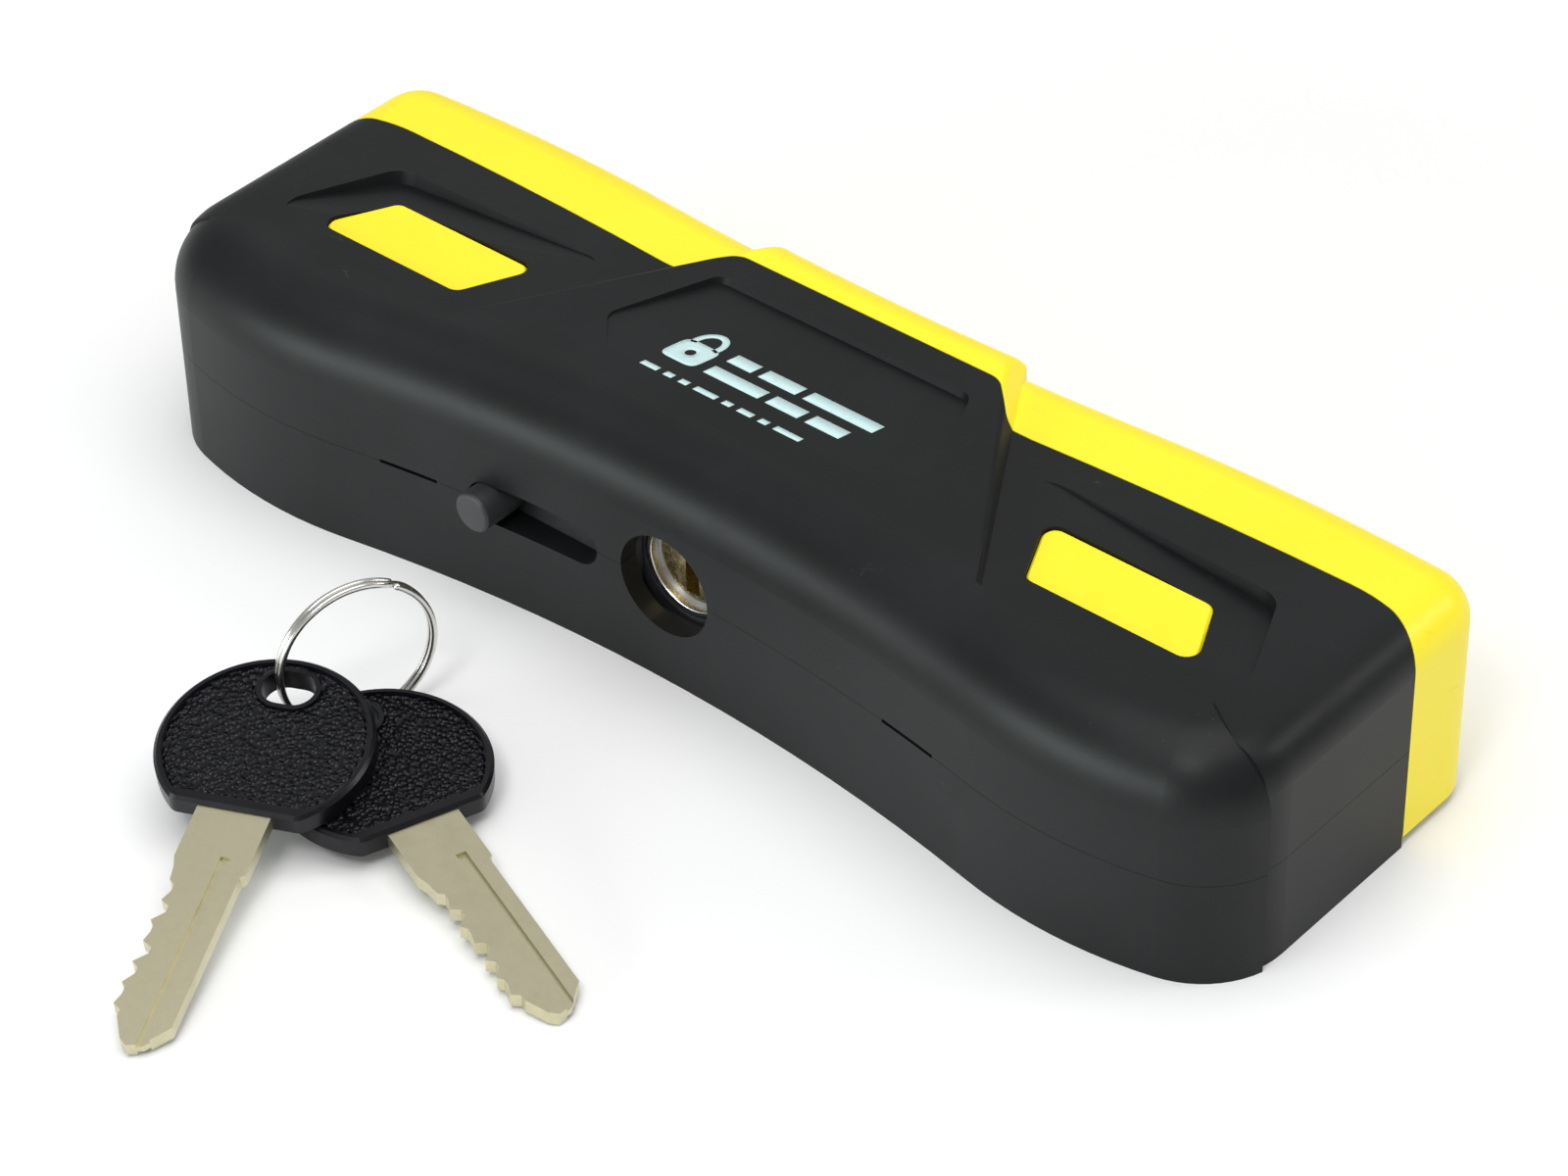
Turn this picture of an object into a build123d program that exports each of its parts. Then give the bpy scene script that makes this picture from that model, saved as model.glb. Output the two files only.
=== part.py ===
from build123d import *
import os
from math import acos, asin, atan2, cos, degrees, hypot, pi, radians, sin, tan

# Disc brake lock: a moulded body around a steel channel that drops over the rim of a brake disc.
# A key turned clockwise drives a bolt across the channel, and a sliding shutter covers the keyhole.
# X runs along the lock, -Y is the keyhole side and Z is up. The origin is the middle of the underside.

os.makedirs("parts", exist_ok=True)

# ---- Outside form ----
length = 172.0
front_waist_y = -20.8
rear_waist_y = 24.9
rim_proud = 0.7
parting_z = 14.5
parting_gap = 0.05
platform_z = 31.0
rim_z = 31.8
plateau_rear_z = 33.6
body_edge_radius = 5.6
rim_edge_radius = 9.0
wall = 2.6
ceiling_z = 28.2
floor_z = 2.4

# ---- Front openings ----
key_axis_z = parting_z
keyhole_dia = 13.8
knob_dia = 5.4
slot_height = 5.8
shutter_travel = 14.0
shutter_rest_x = -27.6
front_pad_y = -18.2
front_pad_half = 48.5

# ---- Disc channel ----
channel_half_length = 70.0
channel_front_y = 10.8
channel_rear_y = 18.2
channel_roof_z = 21.5
core_front_y = 8.6
core_rear_y = 21.0
core_half_length = 73.0
core_top_z = 24.5
liner_thickness = 0.6

# ---- Lock mechanism ----
key_turn = 90.0
module = 1.0
pinion_teeth = 14
pressure_angle = 20.0
tooth_backlash = 0.24
pitch_radius = module * pinion_teeth / 2
slider_travel = pitch_radius * radians(key_turn)
bolt_travel = 9.4
bolt_x = 26.0
bolt_dia = 9.0
bolt_tip_y = 10.6
bolt_length = 22.0
pin_dia = 3.0
pin_y = -5.0
running_clearance = 0.05
plug_dia = 10.4
plug_front_y = -15.8
plug_rear_y = 3.3
housing_dia = 17.0
housing_front_y = -15.4
housing_rear_y = 3.0
pinion_front_y = 4.2
pinion_rear_y = 7.6
slider_z = 22.6
slider_thickness = 2.0

# ---- Screws ----
band_boss_front_y = 21.1
band_head_y = 23.6
cap_y = 25.35
shell_screw_places = [(-77, -9), (-52, -16), (52, -16), (77, -9)]
band_screw_places = [(-60, 9), (60, 9)]
mechanism_screw_places = [(-5.6, -6), (5.6, -6), (21.6, -9), (30.4, -9)]


def plan_outline(inset):
    """Plan outline of the whole lock, waisted front and rear, drawn in by inset all round."""
    front_waist_r = 260.0
    front_waist_turn = degrees(asin(50.0 / front_waist_r))
    front_lobe_turn = 14.5
    rear_waist_turn = 4.55
    rear_lobe_turn = 4.0
    with BuildSketch() as plan:
        with BuildLine():
            waist_f = JernArc((0, front_waist_y), (1, 0), front_waist_r, -front_waist_turn)
            lobe_f = JernArc(waist_f @ 1, waist_f % 1, 60, front_waist_turn + front_lobe_turn)
            room_f = length / 2 - (lobe_f @ 1).X
            radius_f = room_f / (1 - sin(radians(front_lobe_turn)))
            corner_f = JernArc(lobe_f @ 1, lobe_f % 1, radius_f, 90 - front_lobe_turn)
            waist_r = JernArc((0, rear_waist_y), (1, 0), 480, rear_waist_turn)
            lobe_r = JernArc(waist_r @ 1, waist_r % 1, 277, -rear_waist_turn - rear_lobe_turn)
            room_r = length / 2 - (lobe_r @ 1).X
            radius_r = room_r / (1 - sin(radians(rear_lobe_turn)))
            corner_r = JernArc(lobe_r @ 1, lobe_r % 1, radius_r, rear_lobe_turn - 90)
            Line(corner_f @ 1, corner_r @ 1)
            mirror(about=Plane.YZ)
        make_face()
        if inset > 0:
            offset(amount=-inset)
    return plan.sketch


def rounded_blank(inset, height, edge_radius):
    """Plan outline raised to height with its whole top edge rounded."""
    with BuildPart() as blank:
        add(plan_outline(inset))
        extrude(amount=height)
        fillet(blank.edges().group_by(Axis.Z)[-1], edge_radius)
    return blank.part


# ---- Raised areas of the top ----
rim_y = -13.0
rim_end_y = -16.5
shoulder_half = 42.0
shoulder_slope = 0.62
rim_top_draft = 40.0
plateau_draft = 38.0
plateau_start_y = -10.5
plateau_edge_radius = 1.2


def rim_region():
    """Prism that keeps the proud front rim, with a sloping step around its rear edge."""
    centre_y = 0.0
    centre_half = shoulder_half - shoulder_slope * (centre_y - rim_y)
    right_edge = [(0, -40), (100, -40), (100, rim_end_y), (80, rim_end_y), (75, rim_y), (shoulder_half, rim_y)]
    right_edge.append((centre_half, centre_y))
    right_edge.append((0, centre_y))
    with BuildPart() as region:
        with BuildSketch() as low:
            with BuildLine():
                Polyline(*right_edge, close=True)
            make_face()
            mirror(about=Plane.YZ)
        extrude(amount=platform_z)
        with BuildSketch(Plane.XY.offset(platform_z)) as high:
            add(low.sketch)
        extrude(amount=3, taper=rim_top_draft)
    return region.part


def plateau_region():
    """Prism over the middle of the lock with drafted sides and a top that climbs to the rear."""
    front_y = plateau_start_y
    rear_y = 40.0
    lead_y = front_y - 8
    front_half = shoulder_half - shoulder_slope * (front_y - rim_y)
    lead_half = shoulder_half - shoulder_slope * (lead_y - rim_y)
    rear_half = shoulder_half - shoulder_slope * (rear_y - rim_y)
    climb = (plateau_rear_z - rim_z) / (rear_waist_y - plateau_start_y)
    with BuildPart() as region:
        with BuildSketch(Plane.XY.offset(platform_z - 6)):
            with BuildLine():
                Polyline(
                    (-front_half, front_y), (front_half, front_y), (rear_half, rear_y), (-rear_half, rear_y),
                    close=True)
            make_face()
        extrude(amount=6)
        with BuildSketch(Plane.XY.offset(platform_z)):
            with BuildLine():
                Polyline(
                    (-lead_half, lead_y), (lead_half, lead_y), (rear_half, rear_y), (-rear_half, rear_y),
                    close=True)
            make_face()
        extrude(amount=6, taper=plateau_draft)
        with BuildSketch(Plane.YZ):
            with BuildLine():
                Polyline(
                    (front_y, rim_z), (60, rim_z + climb * (60 - front_y)), (60, 60), (-60, 60), (-60, 20),
                    (front_y, 20), close=True)
            make_face()
        extrude(amount=60, both=True, mode=Mode.SUBTRACT)
    return region.part


# ---- Seam between the black shells and the yellow rear band ----
seam_gap = 0.12
seam_end_y = 9.2
seam_notch_y = 17.0


def seam_region(grow, height):
    """Prism of everything in front of the seam; grow moves the seam outwards."""
    with BuildPart() as region:
        with BuildSketch():
            with BuildLine():
                lobe = ThreePointArc((29, 12.2), (50, 13.3), (74, 13.7))
                turn = JernArc(lobe @ 1, lobe % 1, 22, -36)
                outer = Polyline(turn @ 1, (95, (turn @ 1).Y), (95, -60), (0, -60))
                notch = Polyline(outer @ 1, (0, seam_notch_y), (20.4, seam_notch_y), (25.4, 12.2), lobe @ 0)
            make_face()
            corners = [v for v in vertices() if 20 < v.X < 26 and v.Y > 10]
            fillet(corners, 3.2)
            mirror(about=Plane.YZ)
            if grow > 0:
                offset(amount=grow)
        extrude(amount=height)
    return region.part


# ---- Recesses in the top ----
window_corners = [(44.7, -8.8), (69.2, -8.8), (64.1, 1.4), (39.9, 1.4)]
pocket_corners = [(38.5, -9.5), (75.0, -9.5), (68.3, 5.6), (34.5, 6.4)]
pocket_depth = 1.7
window_corner_r = 1.8


def pocket(side):
    """Sunken panel around one window: flush along one diagonal, deepest at its outer rear corner."""
    far_corner = Vector(side * pocket_corners[2][0], pocket_corners[2][1], platform_z - pocket_depth)
    outer_end = Vector(side * (pocket_corners[1][0] - 1), pocket_corners[1][1] + 1, platform_z)
    inner_end = Vector(side * (pocket_corners[3][0] + 2), pocket_corners[3][1], platform_z)
    normal = (outer_end - far_corner).cross(inner_end - far_corner)
    if normal.Z < 0:
        normal = normal * -1
    with BuildPart() as cut:
        with BuildSketch(Plane.XY.offset(platform_z - 5)):
            with BuildLine():
                Polyline(*[(side * x, y) for x, y in pocket_corners], close=True)
            make_face()
            fillet(vertices(), 2.5)
        extrude(amount=7, taper=-14)
        split(bisect_by=Plane(origin=far_corner, z_dir=normal), keep=Keep.TOP)
    return cut.part


def centre_recess():
    """Shallow flat floor let into the climbing top of the middle, with a wall at the rear and sides."""
    floor = 32.0
    with BuildPart() as cut:
        with BuildSketch(Plane.XY.offset(floor)):
            with BuildLine():
                Polyline((-19.6, 12.4), (19.6, 12.4), (25.8, -1.5), (20, -8), (-20, -8), (-25.8, -1.5), close=True)
            make_face()
            fillet(vertices(), 2.0)
        extrude(amount=4, taper=-14)
    return cut.part


def window_prism(low_z, high_z, grow, side):
    """Leaning rectangle of one window between two heights, grown by grow."""
    with BuildPart() as prism:
        with BuildSketch(Plane.XY.offset(low_z)):
            with BuildLine():
                Polyline(*[(side * x, y) for x, y in window_corners], close=True)
            make_face()
            fillet(vertices(), window_corner_r)
            offset(amount=grow)
        extrude(amount=high_z - low_z)
    return prism.part


# ---- Hollow inside ----
band_wall_inset = rim_proud + wall


def cavity():
    """Room inside the closed body, with a flat front wall where the shutter slides."""
    with BuildPart() as room:
        with BuildSketch(Plane.XY.offset(floor_z)):
            add(plan_outline(band_wall_inset))
            with Locations((0, front_pad_y - 20)):
                Rectangle(2 * front_pad_half, 40, mode=Mode.SUBTRACT)
            with Locations((0, front_pad_y + 5)):
                Rectangle(2 * front_pad_half, 10)
        extrude(amount=ceiling_z - floor_z)
        fillet(room.faces().sort_by(Axis.Z)[-1].edges(), 2.0)
        with BuildSketch(Plane.XY.offset(ceiling_z - 1)):
            with BuildLine():
                Polyline((-30, -9), (30, -9), (20, 21), (-20, 21), close=True)
            make_face()
        extrude(amount=2.2)
    return room.part


# ---- The closed outer form that the shells and the band are cut from ----
with BuildPart() as front_rim:
    add(rounded_blank(0, rim_z, rim_edge_radius))
    add(rim_region(), mode=Mode.INTERSECT)

with BuildPart() as plateau:
    with BuildSketch():
        add(plan_outline(rim_proud))
    extrude(amount=40)
    add(plateau_region(), mode=Mode.INTERSECT)
    fillet(plateau.faces().sort_by(Axis.Y)[-1].edges().sort_by(Axis.Z)[-1], 5.0)
    sharp_sides = plateau.faces().sort_by(Axis.Z)[-1].edges().filter_by(lambda edge: abs(edge.center().X) > 15)
    fillet(sharp_sides, plateau_edge_radius)

with BuildPart() as closed_body:
    add(rounded_blank(rim_proud, platform_z, body_edge_radius))
    add(rim_region(), mode=Mode.SUBTRACT)
    add(front_rim.part)
    add(plateau.part)


# ---- Black shells ----
def front_openings():
    """Keyhole and knob slot through the front wall, and the two vents that lie on the parting line."""
    slot_start = shutter_rest_x - knob_dia / 2 - 0.25
    slot_end = shutter_rest_x + shutter_travel + knob_dia / 2 + 0.25
    with BuildPart() as cut:
        with BuildSketch(Plane.XZ.offset(12)):
            with Locations((0, key_axis_z)):
                Circle(keyhole_dia / 2)
            with Locations(((slot_start + slot_end) / 2, key_axis_z)):
                SlotOverall(slot_end - slot_start, slot_height)
        extrude(amount=20)
        for x in (-39.5, 40.0):
            with BuildSketch(Plane.XZ.offset(22)):
                with Locations((x, parting_z)):
                    Rectangle(8.5, 0.5)
            extrude(amount=6)
    return cut.part


boss_dia = 7.0
screw_shank_dia = 3.0
screw_head_dia = 5.6
screw_head_height = 1.7

with BuildPart() as upper_shell:
    add(closed_body.part)
    add(cavity(), mode=Mode.SUBTRACT)
    with BuildSketch(Plane.XY.offset(parting_z)):
        with Locations(*shell_screw_places):
            Circle(boss_dia / 2)
    extrude(amount=ceiling_z - parting_z + 1)
    with BuildSketch(Plane.XY.offset(slider_z + slider_thickness + 0.3)):
        with Locations((26, -7.6)):
            Rectangle(24, 1.2)
        with Locations((14, 6.8)):
            Rectangle(48, 1.2)
    extrude(amount=ceiling_z + 2 - slider_z - slider_thickness)
    add(seam_region(0, 40), mode=Mode.INTERSECT)
    add(closed_body.part, mode=Mode.INTERSECT)
    split(bisect_by=Plane.XY.offset(parting_z + parting_gap / 2), keep=Keep.TOP)
    add(front_openings(), mode=Mode.SUBTRACT)
    add(centre_recess(), mode=Mode.SUBTRACT)
    for side in (-1, 1):
        add(pocket(side), mode=Mode.SUBTRACT)
        add(window_prism(20, 40, 0, side), mode=Mode.SUBTRACT)
    with Locations(*[(x, y, parting_z) for x, y in shell_screw_places]):
        Cylinder(screw_shank_dia / 2, 16, mode=Mode.SUBTRACT)

with BuildPart() as floor_plate:
    with BuildSketch():
        add(plan_outline(rim_proud + 1.2))
    extrude(amount=1.4)
    with BuildSketch(Plane.XY.offset(1.4)):
        add(plan_outline(band_wall_inset + 0.15))
    extrude(amount=floor_z - 1.4)
    add(seam_region(0, 40), mode=Mode.SUBTRACT)

with BuildPart() as lower_shell:
    add(closed_body.part)
    add(cavity(), mode=Mode.SUBTRACT)
    with BuildSketch(Plane.XY.offset(floor_z - 0.5)):
        with Locations(*shell_screw_places):
            Circle(boss_dia / 2)
    extrude(amount=parting_z - floor_z + 2)
    with BuildSketch(Plane.XY.offset(floor_z - 0.5)):
        with Locations((-6.8, -6), (6.8, -6), (20.8, -5), (31.2, -5)):
            Rectangle(3.4, 11)
    extrude(amount=5 - floor_z + 0.5)
    add(seam_region(0, 40), mode=Mode.INTERSECT)
    split(bisect_by=Plane.XY.offset(parting_z - parting_gap / 2), keep=Keep.BOTTOM)
    add(floor_plate.part)
    add(front_openings(), mode=Mode.SUBTRACT)
    with BuildSketch():
        with Locations((0, (channel_front_y + channel_rear_y) / 2)):
            Rectangle(2 * channel_half_length, channel_rear_y - channel_front_y)
    extrude(amount=10, mode=Mode.SUBTRACT)
    with Locations(*[(x, y, 0) for x, y in shell_screw_places]):
        Cylinder(screw_shank_dia / 2 + 0.2, 2 * parting_z, mode=Mode.SUBTRACT)
        Cylinder(screw_head_dia / 2 + 0.2, 8, mode=Mode.SUBTRACT)
    with Locations(*[(x, y, 0) for x, y in mechanism_screw_places]):
        Cylinder(screw_shank_dia / 2 + 0.2, 12, mode=Mode.SUBTRACT)
        Cylinder(screw_head_dia / 2 + 0.2, 2 * (screw_head_height + 0.3), mode=Mode.SUBTRACT)


# ---- Yellow rear band ----
with BuildPart() as rear_band:
    add(closed_body.part)
    add(cavity(), mode=Mode.SUBTRACT)
    add(seam_region(seam_gap, 40), mode=Mode.SUBTRACT)
    split(bisect_by=Plane.XY.offset(1.5), keep=Keep.TOP)
    with BuildSketch(Plane.XY.offset(1.5)):
        add(plan_outline(band_wall_inset - 0.05))
    extrude(amount=floor_z - 1.4, mode=Mode.SUBTRACT)
    for x, z in band_screw_places:
        with BuildSketch(Plane.XZ.offset(-band_boss_front_y)):
            with Locations((x, z)):
                Circle(4.2)
        extrude(amount=-3.6)
        with BuildSketch(Plane.XZ.offset(-band_boss_front_y)):
            with Locations((x, z)):
                Circle(screw_shank_dia / 2 + 0.2)
        extrude(amount=-10, mode=Mode.SUBTRACT)
        with BuildSketch(Plane.XZ.offset(-band_head_y)):
            with Locations((x, z)):
                Circle(screw_head_dia / 2 + 0.2)
        extrude(amount=-10, mode=Mode.SUBTRACT)

# ---- Yellow window inserts: snapped into the shell from below, over a flange ----
def window_insert(side):
    """One yellow window with a thin flange under the shell's ceiling."""
    with BuildPart() as insert:
        add(window_prism(ceiling_z - 1.2, ceiling_z - 0.02, 1.2, side))
        add(window_prism(ceiling_z - 0.1, platform_z - 0.35, -0.08, side))
        chamfer(insert.faces().sort_by(Axis.Z)[-1].edges(), 0.3)
    return insert.part


with BuildPart() as window_insert_left:
    add(window_insert(-1))

with BuildPart() as window_insert_right:
    add(window_insert(1))


# ---- Steel channel that stands over the disc ----
channel_mid_y = (channel_front_y + channel_rear_y) / 2
channel_width = channel_rear_y - channel_front_y

with BuildPart() as channel_core:
    with BuildSketch(Plane.XY.offset(floor_z)):
        with Locations((0, (core_front_y + core_rear_y) / 2)):
            Rectangle(2 * core_half_length, core_rear_y - core_front_y)
    extrude(amount=core_top_z - floor_z)
    fillet(channel_core.edges().filter_by(Axis.X).group_by(Axis.Z)[-1], 1.5)
    with BuildSketch(Plane.XY.offset(floor_z)):
        with Locations((0, channel_mid_y)):
            Rectangle(2 * channel_half_length, channel_width)
    extrude(amount=channel_roof_z - floor_z, mode=Mode.SUBTRACT)
    with BuildSketch(Plane.XZ):
        with Locations((bolt_x, key_axis_z)):
            Circle(bolt_dia / 2 + running_clearance)
    extrude(amount=-30, mode=Mode.SUBTRACT)
    with BuildSketch(Plane.XZ.offset(-channel_mid_y)):
        with Locations(*band_screw_places):
            Circle(screw_shank_dia / 2)
    extrude(amount=-10, mode=Mode.SUBTRACT)

with BuildPart() as channel_liners:
    for y in (channel_front_y, channel_rear_y - liner_thickness):
        with BuildSketch(Plane.XY.offset(floor_z + 0.2)):
            with Locations((0, y + liner_thickness / 2)):
                Rectangle(2 * channel_half_length - 1, liner_thickness)
        extrude(amount=channel_roof_z - floor_z - 0.4)
    with BuildSketch(Plane.XZ):
        with Locations((bolt_x, key_axis_z)):
            Circle(bolt_dia / 2 + 0.6)
    extrude(amount=-30, mode=Mode.SUBTRACT)


# ---- Lock cylinder ----
keyway_width = 2.1
keyway_height = 8.2
tail_dia = 9.7

with BuildPart() as cylinder_housing:
    with BuildSketch(Plane.XZ.offset(-housing_front_y)):
        with Locations((0, key_axis_z)):
            Circle(housing_dia / 2)
    extrude(amount=-(housing_rear_y - housing_front_y))
    with BuildSketch(Plane.XZ.offset(-housing_front_y - 1)):
        with Locations((0, (5 + key_axis_z) / 2)):
            Rectangle(housing_dia, key_axis_z - 5)
    extrude(amount=-(housing_rear_y - housing_front_y - 1))
    with BuildSketch(Plane.XZ.offset(-housing_front_y)):
        with Locations((0, key_axis_z)):
            Circle(plug_dia / 2 + running_clearance)
    extrude(amount=-30, mode=Mode.SUBTRACT)
    with Locations(*[(x, y, 5) for x, y in mechanism_screw_places[:2]]):
        Cylinder(screw_shank_dia / 2, 7.0, mode=Mode.SUBTRACT)

with BuildPart() as cylinder_ring:
    with BuildSketch(Plane.XZ.offset(-housing_front_y)):
        with Locations((0, key_axis_z)):
            Circle(6.55)
            Circle(5.75, mode=Mode.SUBTRACT)
    extrude(amount=1.3)
    fillet(cylinder_ring.edges().sort_by(Axis.Y)[:2], 0.25)

wafer_pitch = 2.5
wafer_count = 6
wafer_first_y = plug_front_y + 2.6

with BuildPart() as cylinder_plug:
    with BuildSketch(Plane.XZ.offset(-plug_front_y)):
        with Locations((0, key_axis_z)):
            Circle(plug_dia / 2)
    extrude(amount=plug_front_y - plug_rear_y)
    with BuildSketch(Plane.XZ.offset(-plug_rear_y)):
        with Locations((0, key_axis_z)):
            Circle(tail_dia / 2)
    extrude(amount=-(pinion_rear_y - plug_rear_y))
    chamfer(cylinder_plug.faces().sort_by(Axis.Y)[0].edges(), 0.6)
    with BuildSketch(Plane.XZ.offset(-plug_front_y)):
        with Locations((0, key_axis_z)):
            Rectangle(keyway_width, keyway_height)
    extrude(amount=-40, mode=Mode.SUBTRACT)
    with BuildSketch(Plane.XZ.offset(-plug_front_y)):
        with Locations((0.9, key_axis_z + 1.4)):
            Rectangle(1.2, 1.3)
    extrude(amount=-12, mode=Mode.SUBTRACT)
    for number in range(wafer_count):
        with BuildSketch(Plane.XZ.offset(-wafer_first_y - number * wafer_pitch)):
            with Locations((2.6, key_axis_z)):
                Rectangle(1.2, 7.4)
        extrude(amount=-1.2, mode=Mode.SUBTRACT)

with BuildPart() as wafer_tumblers:
    for number in range(wafer_count):
        with BuildSketch(Plane.XZ.offset(-wafer_first_y - number * wafer_pitch - 0.05)):
            with Locations((2.6, key_axis_z)):
                Rectangle(1.1, 7.2)
        extrude(amount=-1.1)

with BuildPart() as plug_clip:
    with BuildSketch(Plane.XZ.offset(-plug_rear_y)):
        with Locations((0, key_axis_z)):
            Circle(6.4)
            Circle(tail_dia / 2, mode=Mode.SUBTRACT)
            with Locations((0, -6)):
                Rectangle(4, 6, mode=Mode.SUBTRACT)
    extrude(amount=-0.7)


# ---- Pinion and toothed slider ----
def involute(angle):
    """Involute function of a pressure angle in radians."""
    return tan(angle) - angle


def tooth_half_angle(radius):
    """Half the angle that one pinion tooth takes up at a radius, in radians."""
    base_radius = pitch_radius * cos(radians(pressure_angle))
    local_angle = acos(min(1.0, base_radius / radius))
    at_pitch = pi / (2 * pinion_teeth) - tooth_backlash / (4 * pitch_radius)
    return at_pitch + involute(radians(pressure_angle)) - involute(local_angle)


def pinion_tooth():
    """One closed tooth standing on the pinion's root circle, pointing up."""
    base_radius = pitch_radius * cos(radians(pressure_angle))
    tip_radius = pitch_radius + 0.85 * module
    radii = [base_radius + (tip_radius - base_radius) * step / 4 for step in range(5)]
    flank = [(r * sin(tooth_half_angle(r)), r * cos(tooth_half_angle(r))) for r in radii]
    root_half = pinion_root_radius * sin(tooth_half_angle(base_radius))
    left_flank = [(-x, z) for x, z in flank]
    with BuildSketch(mode=Mode.PRIVATE) as tooth:
        with BuildLine():
            Spline(*flank)
            Line(flank[-1], left_flank[-1])
            Spline(*reversed(left_flank))
            Polyline(left_flank[0], (-root_half, pinion_root_radius - 0.4), (root_half, pinion_root_radius - 0.4),
                     flank[0])
        make_face()
    return tooth.sketch


pinion_root_radius = pitch_radius - 1.15 * module

with BuildPart() as drive_pinion:
    with BuildSketch(Plane.XZ.offset(-pinion_front_y)):
        with Locations((0, key_axis_z)):
            Circle(pinion_root_radius)
            with PolarLocations(0, pinion_teeth):
                add(pinion_tooth())
        with Locations((0, key_axis_z)):
            Circle(tail_dia / 2, mode=Mode.SUBTRACT)
    extrude(amount=-(pinion_rear_y - pinion_front_y))

rack_pitch_z = key_axis_z + pitch_radius
slider_slot_start = (bolt_x, pin_y)
slider_slot_end = (bolt_x - slider_travel, pin_y + bolt_travel)
rack_first_tooth = -5
rack_tooth_count = 6

with BuildPart() as toothed_slider:
    with BuildSketch(Plane.XY.offset(slider_z)):
        with BuildLine():
            Polyline((-15.5, 4.4), (12, 4.4), (12, -8.4), (30, -8.4), (30, 7.8), (-15.5, 7.8), close=True)
        make_face()
        fillet(vertices(), 0.8)
        with Locations(((slider_slot_start[0] + slider_slot_end[0]) / 2, pin_y + bolt_travel / 2)):
            SlotCenterToCenter(
                hypot(slider_travel, bolt_travel), pin_dia + 0.3,
                rotation=-degrees(atan2(bolt_travel, slider_travel)), mode=Mode.SUBTRACT)
    extrude(amount=slider_thickness)
    with BuildSketch(Plane.XZ.offset(-pinion_front_y - 0.1)):
        for tooth in range(rack_first_tooth, rack_first_tooth + rack_tooth_count):
            middle = (tooth + 0.5) * pi * module
            tip_z = rack_pitch_z - 0.85 * module
            half_pitch = pi * module / 4 - tooth_backlash / 4
            half_tip = half_pitch - (rack_pitch_z - tip_z) * tan(radians(pressure_angle))
            half_root = half_pitch + (slider_z - rack_pitch_z) * tan(radians(pressure_angle))
            with BuildLine():
                Polyline((middle - half_tip, tip_z), (middle + half_tip, tip_z), (middle + half_root, slider_z),
                         (middle + half_root, slider_z + 0.2), (middle - half_root, slider_z + 0.2),
                         (middle - half_root, slider_z), close=True)
            make_face()
    extrude(amount=-(pinion_rear_y - pinion_front_y - 0.2))


# ---- Bolt, its drive pin and its guide ----
with BuildPart() as bolt:
    with BuildSketch(Plane.XZ.offset(bolt_length - bolt_tip_y)):
        with Locations((bolt_x, key_axis_z)):
            Circle(bolt_dia / 2)
    extrude(amount=-bolt_length)
    chamfer(bolt.faces().sort_by(Axis.Y)[-1].edges(), 0.7)
    with Locations((bolt_x, pin_y, key_axis_z + 5)):
        Cylinder(pin_dia / 2, 13, mode=Mode.SUBTRACT)

with BuildPart() as bolt_pin:
    with BuildSketch(Plane.XY.offset(key_axis_z - 1.5)):
        with Locations((bolt_x, pin_y)):
            Circle(pin_dia / 2)
    extrude(amount=slider_z + slider_thickness - 0.2 - key_axis_z + 1.5)

guide_top_z = slider_z - 0.3
guide_front_y = -13.0
guide_rear_y = 8.3

with BuildPart() as bolt_guide:
    with BuildSketch(Plane.XY.offset(5)):
        with Locations((bolt_x, (guide_front_y + guide_rear_y) / 2)):
            Rectangle(14, guide_rear_y - guide_front_y)
    extrude(amount=guide_top_z - 5)
    fillet(bolt_guide.edges().filter_by(Axis.Z), 1.0)
    with BuildSketch(Plane.XZ.offset(-guide_front_y + 1)):
        with Locations((bolt_x, key_axis_z)):
            Circle(bolt_dia / 2 + running_clearance)
    extrude(amount=-30, mode=Mode.SUBTRACT)
    with BuildSketch(Plane.XY.offset(key_axis_z)):
        with Locations((bolt_x, pin_y + bolt_travel / 2)):
            SlotCenterToCenter(bolt_travel, pin_dia + 0.5, rotation=90)
    extrude(amount=20, mode=Mode.SUBTRACT)
    with Locations(*[(x, y, 5) for x, y in mechanism_screw_places[2:]]):
        Cylinder(screw_shank_dia / 2, 7.0, mode=Mode.SUBTRACT)


# ---- Shutter over the keyhole ----
shutter_rear_y = -16.9
shutter_front_y = -18.1
shutter_half_height = 7.6
shutter_right_x = -7.05
shutter_left_x = -45.6
ball_x = -24.0
ball_z = key_axis_z + 4.8
ball_dia = 2.4
groove_depth = 0.3
guide_plate_front_y = -16.7
guide_plate_rear_y = -15.7

with BuildPart() as shutter_plate:
    with BuildSketch(Plane.XZ.offset(-shutter_rear_y)):
        with Locations(((shutter_left_x + shutter_right_x) / 2, key_axis_z)):
            RectangleRounded(shutter_right_x - shutter_left_x, 2 * shutter_half_height, 1.0)
    extrude(amount=shutter_rear_y - shutter_front_y)
    with BuildSketch(Plane.XZ.offset(-shutter_rear_y)):
        with Locations((ball_x - shutter_travel / 2, ball_z)):
            SlotCenterToCenter(shutter_travel, 1.9)
    extrude(amount=groove_depth, mode=Mode.SUBTRACT)
    with BuildSketch(Plane.XZ.offset(-shutter_rear_y)):
        with Locations((shutter_rest_x, key_axis_z)):
            Circle(1.5)
    extrude(amount=4, mode=Mode.SUBTRACT)

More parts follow.
